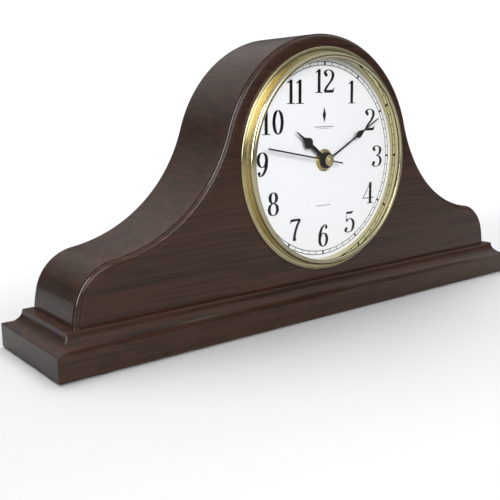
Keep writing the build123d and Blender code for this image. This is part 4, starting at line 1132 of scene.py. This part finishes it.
TOP = 7.5  # half the height of a numeral
level = TOP - HAIR
one = [
    bar((0, -TOP + 0.3), (0, TOP), STEM),
    bar((-2.9, -level), (2.9, -level), HAIR),
    bar((-2.7, 5.35), (-0.1, 6.7), HAIR, 0.75),
]
two = [
    pen_stroke(
        [
            (-3.35, 4.1), (-2.9, 6.2), (-0.4, level), (2.3, 6.0), (2.9, 3.4), (1.5, 0.3),
            (-1.6, -3.3), (-3.7, -6.5),
        ]
    ),
    ball((-2.45, 4.0), 1.15),
    bar((-3.8, -6.55), (3.1, -6.35), 0.85, 0.95),
    bar((2.9, -6.6), (4.05, -3.9), 0.75, 0.16),
]
three = [
    pen_stroke(
        [(-3.3, 4.5), (-2.6, 6.4), (-0.2, level), (2.3, 5.9), (2.75, 3.6), (1.6, 1.3), (-0.9, 0.5)]
    ),
    pen_stroke(
        [
            (-0.9, 0.5), (1.9, -0.3), (3.35, -3.2), (2.2, -6.2), (-0.5, -level), (-2.9, -6.4),
            (-3.7, -4.6),
        ]
    ),
    ball((-2.5, 4.6), 1.1),
    ball((-2.75, -4.5), 1.2),
]
four = [
    bar((1.6, -TOP + 0.3), (1.6, TOP), STEM),
    bar((1.5, TOP - 0.35), (-4.7, -3.4), HAIR),
    bar((-4.9, -3.5), (4.9, -3.5), HAIR),
    bar((-1.0, -level), (4.2, -level), HAIR),
]
five = [
    pen_stroke(
        [
            (-2.95, 0.5), (-1.2, 2.0), (1.0, 2.0), (2.9, 0.2), (3.4, -2.6), (2.2, -6.0),
            (-0.5, -level), (-2.9, -6.4), (-3.7, -4.8),
        ]
    ),
    ball((-2.75, -4.7), 1.15),
    bar((-2.75, 7.1), (-2.95, 0.5), 0.22),
    bar((-2.9, 6.5), (1.6, 6.35), 0.75, 0.85),
    bar((1.5, 6.4), (3.3, 7.4), 0.8, 0.15),
]
six = [
    oval((0.15, -2.75), 2.95, 4.5),
    pen_stroke([(-2.8, -2.4), (-2.5, 1.6), (-1.0, 5.3), (1.2, level), (2.9, 6.3)]),
    ball((2.45, 5.5), 1.05),
]
seven = [
    bar((-3.4, 6.35), (3.6, 6.5), 0.85, 0.75),
    bar((-3.9, 4.0), (-3.2, 6.6), 0.16, 0.5),
    pen_stroke([(3.75, 6.6), (1.6, 2.8), (0.1, -1.4), (-0.55, -4.6), (-0.6, -6.0)], heavy=1.0),
    ball((-0.55, -6.15), 1.3),
]
eight = [oval((0.0, 3.85), 2.35, 3.35), oval((0.0, -3.45), 3.0, 3.8)]
zero = [oval((0.0, 0.0), 2.95, level)]
DIGITS = [zero, one, two, three, four, five, six, seven, eight, turned_over(six)]
print("strokes in the ten digits:", [len(d) for d in DIGITS])

# %% Numerals: places on the dial
NUMERAL_CIRCLE = 51.0
WIDEN = 1.15  # stretch of every digit from side to side
# where an hour's digits stand, to the right of its place on the circle
DIGIT_SHIFT = {3: (1.2,), 9: (-1.8,), 10: (-5.6, 4.1), 11: (-3.8, 3.8), 12: (-5.0, 4.1)}


def numeral(hour):
    """Ink skins of an hour, upright, with its middle on the circle of numerals."""
    turn = hour * pi / 6
    middle = NUMERAL_CIRCLE * np.array([sin(turn), cos(turn)])
    shifts = DIGIT_SHIFT.get(hour, (0.0,))
    skins = []
    for digit, shift in zip(str(hour), shifts):
        for edges, closed in DIGITS[int(digit)]:
            skins.append(printed(edges * (WIDEN, 1.0) + middle + (shift, 0.0), closed))
    return skins


numeral_skins = [piece for hour in range(1, 13) for piece in numeral(hour)]
build_piece("printed_numerals", numeral_skins, print_ink, "clock_case")

# %% [markdown]
# Dials of this kind carry a maker's device under the twelve and a word above the six. Here they
# are a plain slender lozenge over a short rule, and another short rule, which say nothing.

# %% Plain ornaments
ornament_skins = [
    printed(*bar((0, 24.5), (0, 29.5), 0.05, 1.5)),
    printed(*bar((0, 29.5), (0, 34.5), 1.5, 0.05)),
    printed(*bar((-8.5, 21.8), (8.5, 21.8), 0.22)),
    printed(*bar((-5.0, 20.6), (5.0, 20.6), 0.1)),
    printed(*bar((-6.5, -30.2), (6.5, -30.2), 0.16)),
]
build_piece("printed_ornaments", ornament_skins, print_ink, "clock_case")

# %% [markdown]
# The hands are stamped from thin steel. A blade is a flat outline with a small bevel at its
# edge, so the section across it is an eight-sided ring, scaled by the outline's half width. The
# hour and minute hands widen into a spade before the point, the second hand is a plain bar.

# %% Hands
BEVEL, TIP = 0.09, 0.35  # of a blade and of a needle


def blade(line, front_y, back_y):
    """Skin of a flat blade that points to twelve.

    line holds (half width, distance from the axis) pairs. Each gives a ring of eight points:
    the full half width at middle depth, and the half width less the bevel on the two faces.
    """
    half, reach = np.asarray(line, float).T
    inner = np.maximum(half - BEVEL, half * 0.35)
    across = np.stack([-inner, inner, half, half, inner, -inner, -half, -half], 1)
    cut = min(BEVEL, (back_y - front_y) / 2.5)
    depth = np.array(
        [front_y, front_y, front_y + cut, back_y - cut, back_y, back_y, back_y - cut, front_y + cut]
    )
    up = np.broadcast_to(reach[:, None], across.shape)
    return np.stack([across, np.broadcast_to(depth, across.shape), up], -1)


def turned_hand(rings, clockwise):
    """Turn rings about the dial axis, clockwise from twelve, and lift them to the dial."""
    s, c = sin(radians(clockwise)), cos(radians(clockwise))
    x, y, z = np.moveaxis(rings, -1, 0)
    return np.stack([c * x + s * z, y, DIAL_Z / MM + c * z - s * x], -1) * MM


def spade_line(length, stem, start, peak, half, needle_start, needle):
    """Half width against distance of a spade hand.

    The stem is even. The lobe grows from it as a quarter of an ellipse, shrinks to the needle
    along a cubic that is level at both ends, and the needle tapers to a rounded tip.
    """
    turn = np.linspace(0, pi / 2, 12)
    lobe = np.stack([stem + (half - stem) * np.sin(turn), peak - (peak - start) * np.cos(turn)], -1)
    s = np.linspace(0, 1, 14)[1:]
    fall = np.stack(
        [half + (needle - half) * (3 * s**2 - 2 * s**3), peak + (needle_start - peak) * s], -1
    )
    bend = np.linspace(0, pi / 2, 6)
    point = np.stack([TIP * np.cos(bend) + 0.02, length - TIP + TIP * np.sin(bend)], -1)
    return np.concatenate([[(stem, 0.0), (stem, start - 0.01)], lobe, fall, point])


def boss(radius, bore, low_y, high_y):
    """Round boss of a hand, bored for its shaft, with softened rims."""
    section, _ = soften(
        [(bore, high_y), (bore, low_y), (radius, low_y), (radius, high_y), (bore, high_y)], 0.12
    )
    return skin(turned(section[:-1], 64), loop=True)


HAND_THICKNESS = 0.4
hour_low, hour_high = (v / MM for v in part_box("hour_hand"))
minute_low, minute_high = (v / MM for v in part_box("minute_hand"))
second_low, second_high = (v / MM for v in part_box("second_hand"))
HAND_ROWS = (
    # name, body, slot node, boss box, clockwise angle, outline, boss radius, bore
    ("hour_spade", "hour_train", "hour_hand", (hour_low.y, hour_high.y), 305.8,
     spade_line(32.7, 1.35, 17.2, 19.8, 3.65, 26.2, 0.8), 5.2, 2.5),
    ("minute_spade", "minute_train", "minute_hand", (minute_low.y, minute_high.y), 61.4,
     spade_line(55.0, 0.62, 31.0, 33.2, 2.35, 39.5, 0.6), 4.8, 1.65),
    ("second_bar", "second_train", "second_hand", (second_low.y, second_high.y), 280.7,
     [(0.46, -12.9), (0.5, -12.6), (0.5, 52.6), (0.42, 53.1)], 2.6, 0.6),
)
for name, body, node, (low_y, high_y), angle, line, radius, bore in HAND_ROWS:
    middle = (low_y + high_y) / 2
    plate = blade(line, middle - HAND_THICKNESS / 2, middle + HAND_THICKNESS / 2)
    hand = build_piece(
        name,
        [skin(turned_hand(plate, angle)), boss(radius, bore, low_y, high_y)],
        hand_black,
        body,
    )
    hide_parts(node)

# %% [markdown]
# A small stepped cap of turned brass covers the end of the second hand's arbor. It is the
# brightest spot at the centre, so its steps are rounded and its rings are fine.

# %% Cap
cap_low, cap_high = (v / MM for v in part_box("second_hand_cap"))
cap_radius, cap_height = cap_high.x, cap_high.y - cap_low.y
cap_section, _ = soften(
    [
        (0, cap_high.y),
        (cap_radius, cap_high.y),
        (cap_radius, cap_high.y - 0.28 * cap_height),
        (cap_radius * 0.88, cap_high.y - 0.5 * cap_height),
        (cap_radius * 0.62, cap_high.y - 0.52 * cap_height),
        (cap_radius * 0.52, cap_high.y - 0.8 * cap_height),
        (cap_radius * 0.30, cap_low.y),
        (0, cap_low.y),
    ],
    0.3,
    5,
)
cap = build_piece(
    "brass_cap",
    [skin(turned(cap_section, 96), caps=False)],
    fixing_brass, "second_train", merge=True,
)
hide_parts("second_hand_cap")

# %% [markdown]
# The rest of the clock is seen through the opening at the back: the movement, its battery and
# its setting knob, and inside it the wheels, the coil and the circuit. Their solid models have
# the right shape, so they keep it and only get their finishes.

# %% Finishes of the hidden pieces
HIDDEN = {
    # name: colour, fleck, share of fleck, waves per metre, bump in metres, low and high roughness
    "moulded_black": ((30, 30, 32), (52, 52, 54), 0.35, 2600.0, 0.00003, 0.42, 0.58),
    "black_rubber": ((22, 22, 22), (36, 36, 35), 0.5, 1800.0, 0.00003, 0.7, 0.85),
    "moulded_acetal": ((232, 231, 222), (214, 212, 200), 0.35, 1800.0, 0.000008, 0.3, 0.42),
    "knob_plastic": ((222, 220, 212), (196, 192, 182), 0.4, 2200.0, 0.00002, 0.36, 0.5),
    "circuit_board": ((28, 92, 52), (58, 128, 70), 0.6, 900.0, 0.00001, 0.25, 0.4),
    "black_resin": ((10, 10, 11), (28, 28, 29), 0.4, 700.0, 0.00002, 0.08, 0.2),
    "pressed_felt": ((34, 40, 36), (72, 80, 74), 0.7, 5200.0, 0.00025, 0.9, 1.0),
    "battery_sleeve": ((24, 52, 104), (34, 68, 128), 0.4, 500.0, 0.000006, 0.16, 0.28),
}
finishes = {"small_brass": fixing_brass}
for name, (base, fleck, *rest) in HIDDEN.items():
    fuzz = 0.5 if name == "pressed_felt" else 0.0
    finishes[name] = painted_finish(name, colour(*base), colour(*fleck), *rest, Sheen_Weight=fuzz)
finishes["bare_softwood"] = wood_finish(
    "bare_softwood",
    *(colour(150, 112, 70), colour(206, 172, 122), colour(220, 190, 145)),
    *(0.6, 0.75, 0.0, 2.0),
)
print("finishes made:", len(bpy.data.materials))

# %% [markdown]
# Steel, nickel and copper are metals with a fine brushed or wound texture. One function makes
# them all: a drawn-out noise along one axis is the brushing, and on the coil the same noise,
# made much coarser, is the winding.

# %% Finish: brushed metals and winding
def metal_finish(name, tint, shade, low, high, brush, height):
    """Metal with brushing: noise with its own number of waves per metre on each axis."""
    material, tree, shader, place = start_finish(name, Metallic=1.0)
    lines = noise(tree, stretched(tree, place, brush), 1.0, 2.0, 0.6)
    used = place_group(tree, marks, {"Place": place, "Size": 150.0, "Low": low, "High": high})
    tree.links.new(
        colour_mix(tree, steps_between(tree, lines, 0.35, 0.65), shade, tint),
        shader.inputs["Base Color"],
    )
    tree.links.new(used["Roughness"], shader.inputs["Roughness"])
    add_bump(tree, shader, lines, height, 0.7)
    return material


METALS = {
    # name: tint, shade, low and high roughness, waves per metre on each axis, bump in metres
    "bright_steel": ((196, 196, 198), (150, 150, 154), 0.22, 0.4, (300, 3000, 3000), 0.000006),
    "nickel_plate": ((214, 210, 200), (180, 176, 166), 0.16, 0.3, (2500, 2500, 300), 0.000004),
    "dark_magnet": ((96, 96, 100), (66, 66, 70), 0.4, 0.55, (1800, 1800, 1800), 0.00001),
    "copper_winding": ((196, 104, 62), (110, 48, 26), 0.25, 0.4, (9000, 60, 60), 0.00004),
}
for name, (tint, shade, *rest) in METALS.items():
    finishes[name] = metal_finish(name, colour(*tint), colour(*shade), *rest)
print("metals made")

# %% Hand the finishes to the solid pieces
FINISHED_NODES = {
    "bare_softwood": ["corner_blocks"],
    "bright_steel": ["base_screws", "coil_core", "stator_plate", "second_arbor"],
    "pressed_felt": ["felt_feet"],
    "moulded_black": ["movement_case_front", "movement_case_back"],
    "small_brass": ["threaded_bush", "brass_washer", "hex_nut"],
    "black_rubber": ["rubber_washer"],
    "moulded_acetal": ["coil_bobbin", "cannon_pinion", "second_wheel", "intermediate_wheel"]
    + ["third_wheel", "centre_wheel", "minute_wheel", "hour_wheel"],
    "copper_winding": ["coil_winding"],
    "circuit_board": ["circuit_board"],
    "black_resin": ["driver_chip"],
    "nickel_plate": ["quartz_crystal", "positive_contact", "negative_contact"],
    "dark_magnet": ["rotor"],
    "knob_plastic": ["set_knob"],
    "battery_sleeve": ["aa_battery"],
}
for name, nodes in FINISHED_NODES.items():
    for node in nodes:
        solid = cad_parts[node]
        if not solid.material_slots:
            solid.data.materials.append(None)
        for slot in solid.material_slots:
            slot.link = "OBJECT"
            slot.material = finishes[name]
print("solid pieces with a new finish:", sum(map(len, FINISHED_NODES.values())))

# %% [markdown]
# A small object is photographed on a white table among soft lights. The table here is a wide
# pale sheet that fades into plain white with distance, so it has no horizon. It looks darker in
# reflections than from the camera, which keeps the polished brass from turning white.

# %% Table
TABLE_SIZE = 6.0
TABLE_CELLS = 8
FADE_START, FADE_END = 0.07, 0.31  # metres from the origin, across the table
PAPER_WHITE = 1.05
table_line = np.linspace(-TABLE_SIZE / 2, TABLE_SIZE / 2, TABLE_CELLS + 1)
table_x, table_y = np.meshgrid(table_line, table_line, indexing="ij")
table_points = np.stack([table_x, table_y, np.zeros_like(table_x)], -1).reshape(-1, 3)
row, column = (v.ravel() for v in np.indices((TABLE_CELLS, TABLE_CELLS)))
corner = row * (TABLE_CELLS + 1) + column
beyond = corner + TABLE_CELLS + 1
table_faces = np.stack([corner, beyond, beyond + 1, corner + 1], -1)
table_mesh = bpy.data.meshes.new("table")
table_mesh.from_pydata(table_points, [], table_faces)
table = bpy.data.objects.new("table", table_mesh)
bpy.context.scene.collection.objects.link(table)

table_finish, tree, shader, place = start_finish("pale_table", Specular_IOR_Level=0.2)
table_grain = place_group(tree, grain, {"Place": place, "Size": 300.0, "Coarse Share": 0.5})
used = place_group(tree, marks, {"Place": place, "Size": 3.0, "Low": 0.5, "High": 0.6})
seen = colour_mix(
    tree,
    times(tree, table_grain["Fleck"], 0.15),
    (0.475, 0.475, 0.48, 1),
    (0.46, 0.46, 0.465, 1),
)
sight = add_node(tree, "ShaderNodeLightPath").outputs["Is Camera Ray"]
tree.links.new(colour_mix(tree, sight, (0.22, 0.22, 0.22, 1), seen), shader.inputs["Base Color"])
tree.links.new(used["Roughness"], shader.inputs["Roughness"])
squeezed = stretched(tree, place, (0.3, 1.0, 1.0))
away = add_node(tree, "ShaderNodeVectorMath", {0: squeezed}, operation="LENGTH").outputs["Value"]
far = times(tree, steps_between(tree, away, FADE_START, FADE_END), sight)
paper = add_node(tree, "ShaderNodeEmission", {"Color": (1, 1, 1, 1), "Strength": PAPER_WHITE})
fade = add_node(tree, "ShaderNodeMixShader", {0: far, 1: shader.outputs[0], 2: paper.outputs[0]})
tree.links.new(fade.outputs[0], tree.nodes["Material Output"].inputs["Surface"])
table_mesh.materials.append(table_finish)
print("table is", TABLE_SIZE, "m wide")

# %% [markdown]
# Two broad lights, above and in front, only brighten what they fall on. A long narrow one at the
# left only shows as a gleam, down the bead and on the brass. A weak one in front does both. The
# room is brighter overhead than at eye level, which gives the hump and low flanks their sheen.

# %% Lights
def soft_light(name, place, target, width, height, power, mirrored=True, spreads=True):
    """Flat rectangular light facing a target. It can be kept to gloss or to diffuse light only."""
    lamp = bpy.data.lights.new(name, "AREA")
    lamp.shape, lamp.size, lamp.size_y = "RECTANGLE", width, height
    lamp.energy = power
    holder = bpy.data.objects.new(name, lamp)
    holder.visible_glossy, holder.visible_diffuse = mirrored, spreads
    aim = Vector(target) - Vector(place)
    turn = aim.to_track_quat("-Z", "Y").to_matrix().to_4x4()
    holder.matrix_world = Matrix.Translation(place) @ turn
    bpy.context.scene.collection.objects.link(holder)


soft_light("above", (0.10, 0.45, 1.20), (0.0, 0.0, 0.0), 1.5, 1.5, 33.0, mirrored=False)
soft_light("left", (-1.30, 0.05, 0.75), (0.0, 0.0, 0.08), 0.34, 1.3, 14.0, spreads=False)
soft_light("front", (-0.45, -1.45, 0.60), (0.0, 0.0, 0.08), 1.0, 0.8, 21.0, mirrored=False)
soft_light("front_gleam", (-0.30, -1.40, 0.80), (0.0, 0.0, 0.08), 1.2, 0.9, 7.0)

world = bpy.data.worlds.new("white_room")
bpy.context.scene.world = world
world.use_nodes = True
room = world.node_tree
sky = room.nodes["Background"]
sight = add_node(room, "ShaderNodeLightPath").outputs["Is Camera Ray"]
heading = add_node(room, "ShaderNodeTexCoord").outputs["Generated"]
upward = add_node(room, "ShaderNodeSeparateXYZ", {0: heading}).outputs["Z"]
wall_light = steps_between(room, upward, 0.2, 0.65, 0.1, 0.44)
strength = add_node(
    room, "ShaderNodeMix", {"Factor": sight, "A": wall_light, "B": PAPER_WHITE}, data_type="FLOAT"
)
room.links.new(strength.outputs[0], sky.inputs["Strength"])
sky.inputs["Color"].default_value = (1.0, 1.0, 1.0, 1.0)
bpy.context.scene.view_settings.view_transform = "Standard"
